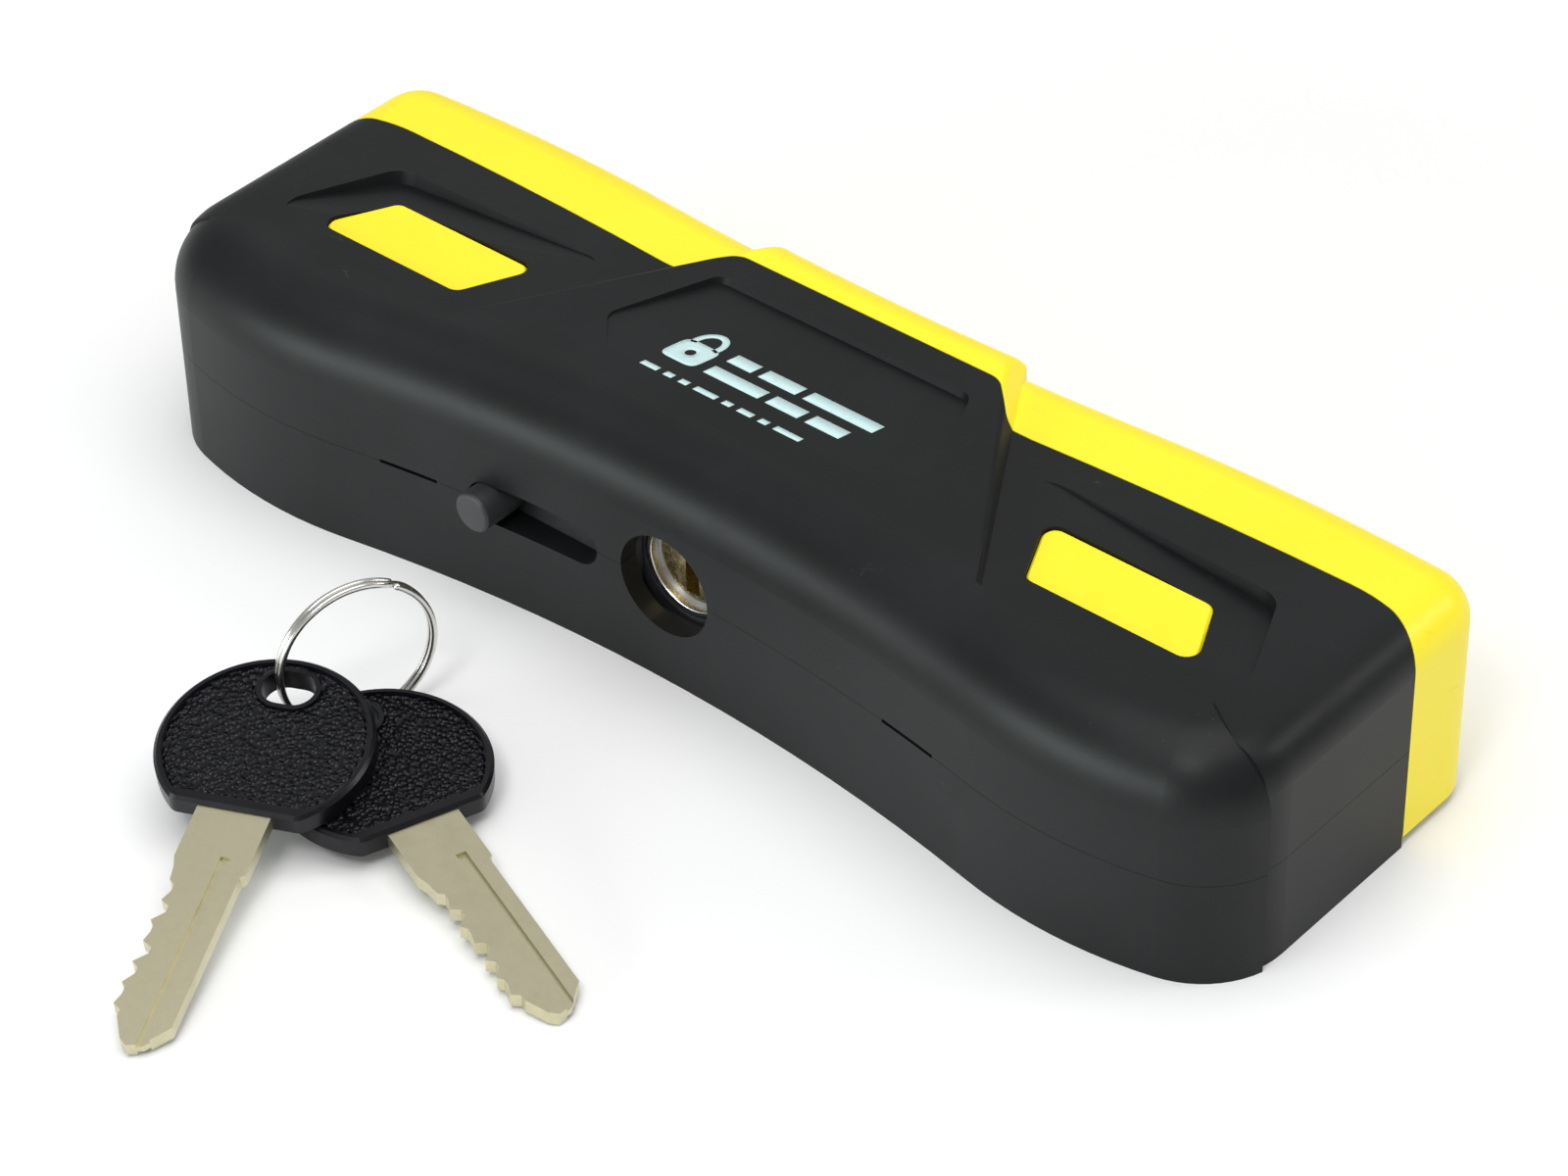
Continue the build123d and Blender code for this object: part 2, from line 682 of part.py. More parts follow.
with BuildPart() as shutter_knob:
    with BuildSketch(Plane.XZ.offset(-shutter_front_y)):
        with Locations((shutter_rest_x, key_axis_z)):
            Circle(knob_dia / 2)
    extrude(amount=25.2 + shutter_front_y)
    fillet(shutter_knob.faces().sort_by(Axis.Y)[0].edges(), 0.5)
    with BuildSketch(Plane.XZ.offset(-shutter_rear_y)):
        with Locations((shutter_rest_x, key_axis_z)):
            Circle(1.5)
    extrude(amount=shutter_rear_y - shutter_front_y)

with BuildPart() as shutter_guide:
    with BuildSketch(Plane.XZ.offset(-guide_plate_rear_y)):
        with Locations((-17.5, key_axis_z)):
            Rectangle(61, 19.2)
    extrude(amount=guide_plate_rear_y - guide_plate_front_y)
    with BuildSketch(Plane.XZ.offset(-guide_plate_front_y)):
        with Locations((-17.5, key_axis_z)):
            Rectangle(61, 19.2)
            with Locations((-2.5, 0)):
                Rectangle(52.4, 2 * shutter_half_height + 0.3, mode=Mode.SUBTRACT)
            with Locations((26, 0)):
                Rectangle(9.2, 30, mode=Mode.SUBTRACT)
    extrude(amount=1.4)
    with BuildSketch(Plane.XZ.offset(-guide_plate_rear_y)):
        with Locations((ball_x, ball_z)):
            Circle(2.6)
    extrude(amount=-5.4)
    with BuildSketch(Plane.XZ.offset(-guide_plate_front_y)):
        with Locations((ball_x, ball_z)):
            Circle(ball_dia / 2 + 0.1)
    extrude(amount=-5.8, mode=Mode.SUBTRACT)
    with BuildSketch(Plane.XZ.offset(10)):
        with Locations((0, key_axis_z)):
            Circle(6.7)
    extrude(amount=10, mode=Mode.SUBTRACT)

ball_y = shutter_rear_y - groove_depth + ball_dia / 2 + 0.05
spring_start_y = ball_y + ball_dia / 2 + 0.2
spring_length = 3.4

with BuildPart() as detent_ball:
    with Locations((ball_x, ball_y, ball_z)):
        Sphere(ball_dia / 2)

with BuildPart() as detent_spring:
    with BuildLine():
        coil = Helix(0.85, spring_length, 0.9, center=(ball_x, spring_start_y, ball_z), direction=(0, 1, 0))
    with BuildSketch(Plane(origin=coil @ 0, z_dir=coil % 0)):
        Circle(0.16)
    sweep(is_frenet=True)


# ---- Screws ----
def screw_group(places, head_z, shank_length):
    """Identical countersunk-slot screws pointing up, with their heads at head_z."""
    with BuildPart() as group:
        for x, y in places:
            with BuildSketch(Plane.XY.offset(head_z)):
                with Locations((x, y)):
                    Circle(screw_head_dia / 2)
            extrude(amount=screw_head_height)
            with BuildSketch(Plane.XY.offset(head_z + screw_head_height)):
                with Locations((x, y)):
                    Circle(screw_shank_dia / 2)
            extrude(amount=shank_length)
            with BuildSketch(Plane.XY.offset(head_z)):
                with Locations((x, y)):
                    RegularPolygon(1.2, 6)
            extrude(amount=1.0, mode=Mode.SUBTRACT)
    return group.part


with BuildPart() as shell_screws:
    add(screw_group(shell_screw_places, 2.3, 18.0))

with BuildPart() as mechanism_screws:
    add(screw_group(mechanism_screw_places, 0.3, 6.2))

with BuildPart() as band_screws:
    for x, z in band_screw_places:
        with BuildSketch(Plane.XZ.offset(-band_head_y)):
            with Locations((x, z)):
                Circle(screw_head_dia / 2)
        extrude(amount=-screw_head_height)
        with BuildSketch(Plane.XZ.offset(-band_head_y)):
            with Locations((x, z)):
                Circle(screw_shank_dia / 2)
        extrude(amount=band_head_y - core_rear_y + 2.5)

with BuildPart() as band_screw_caps:
    for x, z in band_screw_places:
        with BuildSketch(Plane.XZ.offset(-cap_y)):
            with Locations((x, z)):
                Circle(screw_head_dia / 2 + 0.1)
        extrude(amount=-1.0)


# ---- Keys and ring, lying in front of the lock ----
bow_radius = 13.0
bow_thickness = 3.0
bow_flat = 10.4
bow_rim = 0.9
bow_end_rim = 1.5
blade_thickness = 1.8
neck_width = 9.0
blade_width = 8.0
key_tip = 44.6
groove_start = 17.0
ring_radius = 9.95
ring_wire = 0.84
hole_centre = -8.3
cut_depths = [1.0, 1.5, 0.8, 1.7, 1.2, 0.8, 1.4]


def key_plane(centre, heading, dip):
    """Mid-plane of a key: X towards the tip along heading, dipping towards the tip, Z out of its upper face."""
    turn = radians(heading)
    fall = radians(dip)
    along = (cos(turn) * cos(fall), sin(turn) * cos(fall), -sin(fall))
    upward = (cos(turn) * sin(fall), sin(turn) * sin(fall), cos(fall))
    return Plane(origin=centre, x_dir=along, z_dir=upward)


def key_bow(plane):
    """Moulded round bow with a flat end, a sunken panel on both faces, a ring hole and a pocket for the blade."""
    with BuildPart() as bow:
        with BuildSketch(plane.offset(-bow_thickness / 2)):
            Circle(bow_radius)
            with Locations((bow_flat + 10, 0)):
                Rectangle(20, 40, mode=Mode.SUBTRACT)
            fillet(vertices(), 1.6)
        extrude(amount=bow_thickness)
        chamfer(bow.edges().filter_by(lambda edge: edge.length > 12), 0.4)
        for face_offset, direction in ((bow_thickness / 2 - 0.25, 1), (0.25 - bow_thickness / 2, -1)):
            with BuildSketch(plane.offset(face_offset)):
                Circle(bow_radius - bow_rim)
                with Locations((bow_flat - bow_end_rim + 10, 0)):
                    Rectangle(20, 40, mode=Mode.SUBTRACT)
                fillet(vertices(), 1.0)
                with Locations((hole_centre, 0)):
                    SlotOverall(7.8, 6.2, rotation=90, mode=Mode.SUBTRACT)
            extrude(amount=direction, mode=Mode.SUBTRACT)
        with BuildSketch(plane.offset(-5)):
            with Locations((hole_centre, 0)):
                SlotOverall(6.6, 5.0, rotation=90)
        extrude(amount=10, mode=Mode.SUBTRACT)
        with BuildSketch(plane.offset(-blade_thickness / 2)):
            with Locations((bow_flat, 0)):
                Rectangle(14, neck_width)
        extrude(amount=blade_thickness, mode=Mode.SUBTRACT)
    return bow.part


def key_blade(plane):
    """Flat blade with a wide neck, one cut edge and a groove milled along each face."""
    neck_end = 19.5
    first_cut = 22.5
    cut_pitch = 3.0
    top = blade_width / 2
    edge = [(bow_flat - 7, neck_width / 2), (neck_end - 1.5, neck_width / 2), (neck_end, top)]
    for number, depth in enumerate(cut_depths):
        middle = first_cut + number * cut_pitch
        edge.append((middle - 1.1, top - 0.25 * depth))
        edge.append((middle - 0.4, top - depth))
        edge.append((middle + 0.5, top - depth))
    edge += [(key_tip - 0.8, 1.2), (key_tip, 0.2), (key_tip - 0.6, -1.6), (key_tip - 3.4, -top)]
    edge += [(neck_end, -top), (neck_end - 0.5, -neck_width / 2), (bow_flat - 7, -neck_width / 2)]
    with BuildPart() as blade:
        with BuildSketch(plane.offset(-blade_thickness / 2)):
            with BuildLine():
                Polyline(*[(x, -y) for x, y in edge], close=True)
            make_face()
        extrude(amount=blade_thickness)
        for face_offset, direction in ((blade_thickness / 2 - 0.45, 1), (0.45 - blade_thickness / 2, -1)):
            with BuildSketch(plane.offset(face_offset)):
                with Locations((groove_start + 20, 1.5)):
                    Rectangle(40, 1.3)
            extrude(amount=direction, mode=Mode.SUBTRACT)
    return blade.part


key_1_plane = key_plane((-20.6, -67.3, 8.5), -65.2, 9.4)
key_2_plane = key_plane((-10.9, -58.2, 4.3), -19.4, 4.1)

with BuildPart() as key_1_bow:
    add(key_bow(key_1_plane))

with BuildPart() as key_1_blade:
    add(key_blade(key_1_plane))

with BuildPart() as key_2_bow:
    add(key_bow(key_2_plane))

with BuildPart() as key_2_blade:
    add(key_blade(key_2_plane))

ring_centre = (-22.6, -50.2, 10.9)
ring_heading = 70.0
ring_axis = (sin(radians(ring_heading)), -cos(radians(ring_heading)), 0.0)

with BuildPart() as split_ring:
    for shift in (-0.38, 0.38):
        middle = Vector(*ring_centre) + Vector(*ring_axis) * shift
        with Locations(Plane(origin=middle, z_dir=ring_axis)):
            Torus(ring_radius, ring_wire / 2)


# ---- Labels and files ----
finished = {
    "upper_shell": upper_shell,
    "lower_shell": lower_shell,
    "rear_band": rear_band,
    "window_insert_left": window_insert_left,
    "window_insert_right": window_insert_right,
    "channel_core": channel_core,
    "channel_liners": channel_liners,
    "cylinder_housing": cylinder_housing,
    "cylinder_ring": cylinder_ring,
    "cylinder_plug": cylinder_plug,
    "wafer_tumblers": wafer_tumblers,
    "plug_clip": plug_clip,
    "drive_pinion": drive_pinion,
    "toothed_slider": toothed_slider,
    "bolt": bolt,
    "bolt_pin": bolt_pin,
    "bolt_guide": bolt_guide,
    "shutter_plate": shutter_plate,
    "shutter_knob": shutter_knob,
    "shutter_guide": shutter_guide,
    "detent_ball": detent_ball,
    "detent_spring": detent_spring,
    "shell_screws": shell_screws,
    "mechanism_screws": mechanism_screws,
    "band_screws": band_screws,
    "band_screw_caps": band_screw_caps,
    "key_1_bow": key_1_bow,
    "key_1_blade": key_1_blade,
    "key_2_bow": key_2_bow,
    "key_2_blade": key_2_blade,
    "split_ring": split_ring,
}
for name, piece in finished.items():
    piece.part.label = name
    export_step(piece.part, f"parts/{name}.step")
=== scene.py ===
import logging
import math
from collections.abc import Mapping, Sequence
from dataclasses import dataclass
from enum import Enum

import bpy
import numpy as np
from mathutils import Matrix, Vector


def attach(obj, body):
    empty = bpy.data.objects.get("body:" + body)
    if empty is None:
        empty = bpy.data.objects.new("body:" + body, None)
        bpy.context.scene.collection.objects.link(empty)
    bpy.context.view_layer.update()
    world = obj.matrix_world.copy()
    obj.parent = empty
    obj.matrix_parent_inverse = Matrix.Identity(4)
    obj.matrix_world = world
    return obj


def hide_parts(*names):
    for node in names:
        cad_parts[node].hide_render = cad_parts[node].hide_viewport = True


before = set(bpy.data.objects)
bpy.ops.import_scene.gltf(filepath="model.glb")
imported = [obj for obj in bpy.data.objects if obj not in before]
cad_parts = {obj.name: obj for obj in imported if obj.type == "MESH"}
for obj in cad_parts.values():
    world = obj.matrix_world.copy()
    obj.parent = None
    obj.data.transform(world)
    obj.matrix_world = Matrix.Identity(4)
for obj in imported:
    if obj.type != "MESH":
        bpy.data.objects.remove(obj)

# Disc brake lock: finishes, the coiled key ring, the printed mark, studio and camera.
# Metres throughout. X runs along the lock, -Y is the keyhole side, Z is up.

log = logging.getLogger("disc_lock")
logging.basicConfig(level=logging.INFO, format="%(name)s: %(message)s")

MM = 0.001
Number = float | int
Colour = tuple[float, float, float]
Triple = tuple[float, float, float]
Pair = tuple[float, float]


def rgba(colour: Colour) -> tuple[float, float, float, float]:
    """Add full opacity to a linear colour."""
    return (*colour, 1.0)


# ---------------------------------------------------------------- shader expressions
class Wire:
    """One output socket of a material's tree, on which arithmetic adds Math nodes."""

    def __init__(self, tree: "Tree", socket: bpy.types.NodeSocket) -> None:
        """Keep the tree and the socket.

        Args:
            tree: The tree that the socket belongs to.
            socket: The output socket that this wire comes from.
        """
        self.tree = tree
        self.socket = socket

    def maths(self, operation: str, *terms: "Wire | Number") -> "Wire":
        """Run the given terms through one Math node.

        Args:
            operation: The Math node's operation.
            terms: Its inputs in order, wires or numbers.

        Returns:
            The wire that carries the result.
        """
        settings = {"operation": operation}
        return self.tree.out("ShaderNodeMath", settings, dict(enumerate(terms)))

    def __add__(self, other: "Wire | Number") -> "Wire":
        """Sum."""
        return self.maths("ADD", self, other)

    __radd__ = __add__

    def __sub__(self, other: "Wire | Number") -> "Wire":
        """Difference."""
        return self.maths("SUBTRACT", self, other)

    def __rsub__(self, other: Number) -> "Wire":
        """Difference from a number."""
        return self.maths("SUBTRACT", other, self)

    def __mul__(self, other: "Wire | Number") -> "Wire":
        """Product."""
        return self.maths("MULTIPLY", self, other)

    __rmul__ = __mul__

    def __pow__(self, other: Number) -> "Wire":
        """Power."""
        return self.maths("POWER", self, other)

    def sine(self) -> "Wire":
        """Sine of the value in radians."""
        return self.maths("SINE", self)

    def least(self, other: "Wire | Number") -> "Wire":
        """Smaller of the two."""
        return self.maths("MINIMUM", self, other)

    def most(self, other: "Wire | Number") -> "Wire":
        """Larger of the two."""
        return self.maths("MAXIMUM", self, other)

    def rise(self, low: float, high: float) -> "Wire":
        """Smooth step from 0 at low to 1 at high; low may be the larger of the two."""
        settings = {"interpolation_type": "SMOOTHSTEP"}
        flipped = low > high
        ends = (high, low) if flipped else (low, high)
        inputs = {"Value": self, "From Min": ends[0], "From Max": ends[1]}
        step = self.tree.out("ShaderNodeMapRange", settings, inputs)
        return 1 - step if flipped else step


class Tree:
    """A new material with its node tree, its principled shader and short ways to add nodes."""

    def __init__(self, name: str) -> None:
        """Start an empty material.

        Args:
            name: The material's name.
        """
        self.material = bpy.data.materials.new(name)
        self.material.use_nodes = True
        self.nodes = self.material.node_tree.nodes
        self.links = self.material.node_tree.links
        self.shader = next(node for node in self.nodes if node.type == "BSDF_PRINCIPLED")
        place = self.add("ShaderNodeTexCoord", {}, {})
        self.place = Wire(self, place.outputs["Object"])
        split = self.add("ShaderNodeSeparateXYZ", {}, {"Vector": self.place})
        self.x, self.y, self.z = (Wire(self, socket) for socket in split.outputs)

    def add(self, kind: str, settings: Mapping[str, object],
            inputs: Mapping[object, object]) -> bpy.types.Node:
        """Add one node.

        Args:
            kind: The node's type name.
            settings: Its properties, set first.
            inputs: Values or wires by socket index, identifier or name.

        Returns:
            The node.
        """
        node = self.nodes.new(kind)
        for key, value in settings.items():
            setattr(node, key, value)
        self.feed(node, inputs)
        return node

    def feed(self, node: bpy.types.Node, inputs: Mapping[object, object]) -> None:
        """Set or link sockets of a node.

        Args:
            node: The node to feed.
            inputs: Values or wires by socket index, identifier or name.
        """
        for key, value in inputs.items():
            if isinstance(key, int):
                socket = node.inputs[key]
            else:
                named = [s for s in node.inputs if s.identifier == key]
                named = named or [s for s in node.inputs if s.name == key]
                socket = named[0]
            if isinstance(value, Wire):
                self.links.new(value.socket, socket)
            else:
                socket.default_value = value

    def out(self, kind: str, settings: Mapping[str, object], inputs: Mapping[object, object],
            output: str | int = 0) -> Wire:
        """Add one node and return one of its outputs.

        Args:
            kind: The node's type name.
            settings: Its properties.
            inputs: Values or wires for its sockets.
            output: Name, identifier or index of the wanted output.

        Returns:
            The output as a wire.
        """
        node = self.add(kind, settings, inputs)
        if isinstance(output, int):
            return Wire(self, node.outputs[output])
        named = [s for s in node.outputs if output in (s.identifier, s.name)]
        return Wire(self, named[0])

    def noise(self, size: float, detail: float = 3.0, rough: float = 0.55,
              stretch: Triple = (1, 1, 1), shift: float = 0.0) -> Wire:
        """Cloudy noise between 0 and 1.

        Args:
            size: Size of one cloud in metres.
            detail: Number of finer layers.
            rough: Weight of the finer layers.
            stretch: Scale of the pattern along X, Y and Z.
            shift: Offset that gives another draw of the same pattern.

        Returns:
            The noise as a wire.
        """
        moved = {"Vector": self.place, "Scale": stretch, "Location": (shift, shift, shift)}
        place = self.out("ShaderNodeMapping", {}, moved)
        inputs = {"Vector": place, "Scale": 1 / size, "Detail": detail, "Roughness": rough}
        return self.out("ShaderNodeTexNoise", {"noise_dimensions": "3D"}, inputs)

    def cells(self, size: float, feature: str = "F1", stretch: Triple = (1, 1, 1),
              turn: Triple = (0, 0, 0)) -> Wire:
        """Distance pattern of random cells.

        Args:
            size: Size of one cell in metres.
            feature: F1 or DISTANCE_TO_EDGE.
            stretch: Scale of the pattern along X, Y and Z.
            turn: Rotation of the pattern in radians.

        Returns:
            The distance as a wire.
        """
        moved = {"Vector": self.place, "Scale": stretch, "Rotation": turn}
        place = self.out("ShaderNodeMapping", {}, moved)
        inputs = {"Vector": place, "Scale": 1 / size}
        return self.out("ShaderNodeTexVoronoi", {"feature": feature}, inputs, "Distance")

    def tint(self, first: "Wire | Colour", second: "Wire | Colour", share: Wire) -> Wire:
        """Blend two colours.

        Args:
            first: Colour where share is 0.
            second: Colour where share is 1.
            share: The blend.

        Returns:
            The blended colour.
        """
        ends = [end if isinstance(end, Wire) else rgba(end) for end in (first, second)]
        inputs = {"Factor_Float": share, "A_Color": ends[0], "B_Color": ends[1]}
        return self.out("ShaderNodeMix", {"data_type": "RGBA"}, inputs, "Result_Color")

    def along(self, direction: Triple, origin: Triple = (0, 0, 0)) -> Wire:
        """Distance of the shaded point from origin along a unit direction."""
        inputs = {0: self.place, 1: direction}
        dot = self.out("ShaderNodeVectorMath", {"operation": "DOT_PRODUCT"}, inputs, "Value")
        return dot - float(np.dot(direction, origin))

    def near(self, centre: Triple, inner: float, outer: float) -> Wire:
        """Mask that is 1 within inner of a point and fades to 0 at outer."""
        inputs = {0: self.place, 1: centre}
        gap = self.out("ShaderNodeVectorMath", {"operation": "DISTANCE"}, inputs, "Value")
        return gap.rise(outer, inner)

    def bump(self, height: Wire, depth: float, strength: float,
             under: Wire | None = None) -> Wire:
        """Relief from a height pattern.

        Args:
            height: Pattern between 0 and 1.
            depth: Height in metres that 1 stands for.
            strength: Share of the relief that is used.
            under: Relief that this one lies on.

        Returns:
            The normal.
        """
        inputs = {"Height": height, "Distance": depth, "Strength": strength}
        if under is not None:
            inputs["Normal"] = under
        return self.out("ShaderNodeBump", {}, inputs)

    def close(self, **inputs: "Wire | Number | Colour | tuple") -> bpy.types.Material:
        """Feed the principled shader and return the material.

        Args:
            inputs: Sockets by name with underscores for spaces, such as Base_Color.

        Returns:
            The finished material.
        """
        named = {key.replace("_", " "): value for key, value in inputs.items()}
        self.feed(self.shader, named)
        return self.material


# ---------------------------------------------------------------- patterns
@dataclass(frozen=True)
class Cloud:
    """Cloudy noise of one size, stepped smoothly over its span where it has one."""

    size: float
    detail: float = 3.0
    rough: float = 0.55
    shift: float = 0.0
    stretch: Triple = (1.0, 1.0, 1.0)
    span: Pair | None = None

    def lay(self, tree: Tree) -> Wire:
        """Add the pattern to a tree and return it as a wire."""
        noise = tree.noise(self.size, self.detail, self.rough, self.stretch, self.shift)
        return noise.rise(*self.span) if self.span else noise


@dataclass(frozen=True)
class FineLines:
    """Thin lines along the borders of stretched random cells, faded out at width."""

    size: float
    width: float
    stretch: Triple
    turn: Triple

    def lay(self, tree: Tree) -> Wire:
        """Add the pattern to a tree and return it as a mask that is 1 on a line."""
        edge = tree.cells(self.size, "DISTANCE_TO_EDGE", self.stretch, self.turn)
        return edge.rise(self.width, 0.0)


# ---------------------------------------------------------------- finishes
# A span says where a smooth step starts and ends. A share says how much of a pattern is used.
# A relief is a depth in metres and the share of it that is used. A dulling is added roughness.
@dataclass(frozen=True)
class CasingBlack:
    """Satin near-black moulded casing plastic with a fine grain, rubbed and scuffed."""

    name: str = "casing_black"
    deep: Colour = (0.0048, 0.0054, 0.0058)
    pale: Colour = (0.0082, 0.0090, 0.0096)
    scuff: Colour = (0.20, 0.20, 0.20)
    cloud: Cloud = Cloud(22 * MM, 4)
    pale_span: Pair = (0.3, 0.7)
    grain: Cloud = Cloud(0.32 * MM, 2, 0.5)
    grain_relief: Pair = (0.012 * MM, 0.75)
    waves: Cloud = Cloud(9 * MM, 2, 0.4, 3.0)
    wave_relief: Pair = (0.05 * MM, 0.35)
    handled: Cloud = Cloud(14 * MM, 5, 0.65, 7.0, span=(0.52, 0.74))
    scratches_across: FineLines = FineLines(2.6 * MM, 0.022, (0.22, 1, 1), (0, 0, 0.5))
    scratches_along: FineLines = FineLines(3.7 * MM, 0.016, (1, 0.25, 1), (0.3, 0, 1.1))
    breaks: Cloud = Cloud(3.1 * MM, 3, 0.7, 11.0, span=(0.58, 0.70))
    speck_size: float = 0.85 * MM
    speck_span: Pair = (0.16, 0.07)
    speck_patch: Cloud = Cloud(5 * MM, 3, 0.7, 5.0, span=(0.56, 0.70))
    corner: Triple = (0.072, -0.0205, 0.0290)
    corner_reach: Pair = (3 * MM, 11 * MM)
    scratch_share: float = 0.30
    corner_share: float = 0.75
    handled_share: float = 0.10
    scuff_share: float = 0.55
    scuff_relief: Pair = (0.012 * MM, 0.6)
    roughness: float = 0.42
    cloud_dulling: float = 0.07
    handled_dulling: float = 0.05
    worn_dulling: float = 0.16
    wave_dulling: float = 0.03
    specular: float = 0.25

    def build(self) -> bpy.types.Material:
        """Make the material."""
        tree = Tree(self.name)
        cloud = self.cloud.lay(tree)
        waves = self.waves.lay(tree)
        handled = self.handled.lay(tree)
        thin = self.scratches_across.lay(tree).most(self.scratches_along.lay(tree))
        thin = thin * self.breaks.lay(tree) * handled
        specks = tree.cells(self.speck_size).rise(*self.speck_span) * self.speck_patch.lay(tree)
        rubbed = tree.near(self.corner, *self.corner_reach)
        speckled = specks * (rubbed * self.corner_share + handled * self.handled_share)
        worn = (thin * self.scratch_share + speckled).least(1.0)
        body = tree.tint(self.deep, self.pale, cloud.rise(*self.pale_span))
        colour = tree.tint(body, self.scuff, worn * self.scuff_share)
        rough = (self.roughness + cloud * self.cloud_dulling + handled * self.handled_dulling
                 + worn * self.worn_dulling - waves * self.wave_dulling)
        relief = tree.bump(waves, *self.wave_relief)
        relief = tree.bump(self.grain.lay(tree), *self.grain_relief, relief)
        relief = tree.bump(1 - worn, *self.scuff_relief, relief)
        return tree.close(Base_Color=colour, Roughness=rough, Normal=relief,
                          Specular_IOR_Level=self.specular)


@dataclass(frozen=True)
class BandYellow:
    """Bright yellow moulded plastic, smooth satin, with faint grime and fine rubs."""

    name: str = "band_yellow"
    bright: Colour = (0.985, 0.830, 0.014)
    deep: Colour = (0.930, 0.750, 0.008)
    grime: Colour = (0.42, 0.33, 0.06)
    cloud: Cloud = Cloud(30 * MM, 3)
    deep_span: Pair = (0.35, 0.8)
    deep_share: float = 0.45
    grain: Cloud = Cloud(0.45 * MM, 2, 0.5)
    grain_relief: Pair = (0.006 * MM, 0.6)
    waves: Cloud = Cloud(12 * MM, 2, 0.4, 2.0)
    wave_relief: Pair = (0.04 * MM, 0.3)
    rubs: FineLines = FineLines(4.1 * MM, 0.014, (0.18, 1, 1), (0, 0.2, 0.3))
    rub_patch: Cloud = Cloud(4 * MM, 3, 0.7, 6.0, span=(0.56, 0.72))
    rub_share: float = 0.22
    dirt: Cloud = Cloud(2.4 * MM, 5, 0.7, 9.0, span=(0.66, 0.85))
    dirt_share: float = 0.12
    roughness: float = 0.36
    cloud_dulling: float = 0.08
    rub_dulling: float = 0.15
    dirt_dulling: float = 0.08

    def build(self) -> bpy.types.Material:
        """Make the material."""
        tree = Tree(self.name)
        cloud = self.cloud.lay(tree)
        rub = self.rubs.lay(tree) * self.rub_patch.lay(tree)
        dirt = self.dirt.lay(tree)
        deeper = cloud.rise(*self.deep_span) * self.deep_share
        base = tree.tint(self.bright, self.deep, deeper)
        soiled = (rub * self.rub_share + dirt * self.dirt_share).least(1.0)
        colour = tree.tint(base, self.grime, soiled)
        rough = (self.roughness + cloud * self.cloud_dulling + rub * self.rub_dulling
                 + dirt * self.dirt_dulling)
        relief = tree.bump(self.waves.lay(tree), *self.wave_relief)
        relief = tree.bump(self.grain.lay(tree), *self.grain_relief, relief)
        return tree.close(Base_Color=colour, Roughness=rough, Normal=relief)


class Lay(Enum):
    """Direction in which a metal was worked, as the pattern's stretch along X, Y and Z."""

    CAST = (1.0, 1.0, 1.0)
    ALONG_X = (0.03, 1.0, 1.0)
    ALONG_Z = (1.0, 1.0, 0.03)


@dataclass(frozen=True)
class WorkedMetal:
    """Bare, plated or cast metal with tool lines, faint stains and scratches."""

    name: str
    light: Colour
    dark: Colour
    roughness: float
    lay: Lay = Lay.CAST
    line: float = 0.16 * MM
    line_relief: Pair = (0.010 * MM, 0.7)
    cloud: Cloud = Cloud(4 * MM, 4, 0.65, 4.0, span=(0.4, 0.75))
    spots: Cloud = Cloud(1.1 * MM, 4, 0.7, 8.0, span=(0.58, 0.78))
    hairs: Cloud = Cloud(0.35 * MM, 2, 0.5, 12.0, (0.05, 1, 1), (0.60, 0.68))
    hair_patch: Cloud = Cloud(2.2 * MM, 3, 0.7, 15.0, span=(0.50, 0.66))
    hair_relief: Pair = (0.004 * MM, 0.5)
    cloud_share: float = 0.35
    spot_share: float = 0.25
    line_share: float = 0.15
    stain_dulling: float = 0.16
    line_dulling: float = 0.06
    hair_dulling: float = 0.05

    def build(self) -> bpy.types.Material:
        """Make the material."""
        tree = Tree(self.name)
        lines = tree.noise(self.line, 3, 0.6, stretch=self.lay.value)
        scratch = self.hairs.lay(tree) * self.hair_patch.lay(tree)
        stained = (self.cloud.lay(tree) * self.cloud_share
                   + self.spots.lay(tree) * self.spot_share
                   + lines * self.line_share).least(1.0)
        colour = tree.tint(self.light, self.dark, stained)
        rough = (self.roughness + stained * self.stain_dulling + lines * self.line_dulling
                 - scratch * self.hair_dulling)
        relief = tree.bump(lines, *self.line_relief)
        relief = tree.bump(1 - scratch, *self.hair_relief, relief)
        return tree.close(Base_Color=colour, Roughness=rough, Metallic=1.0, Normal=relief)


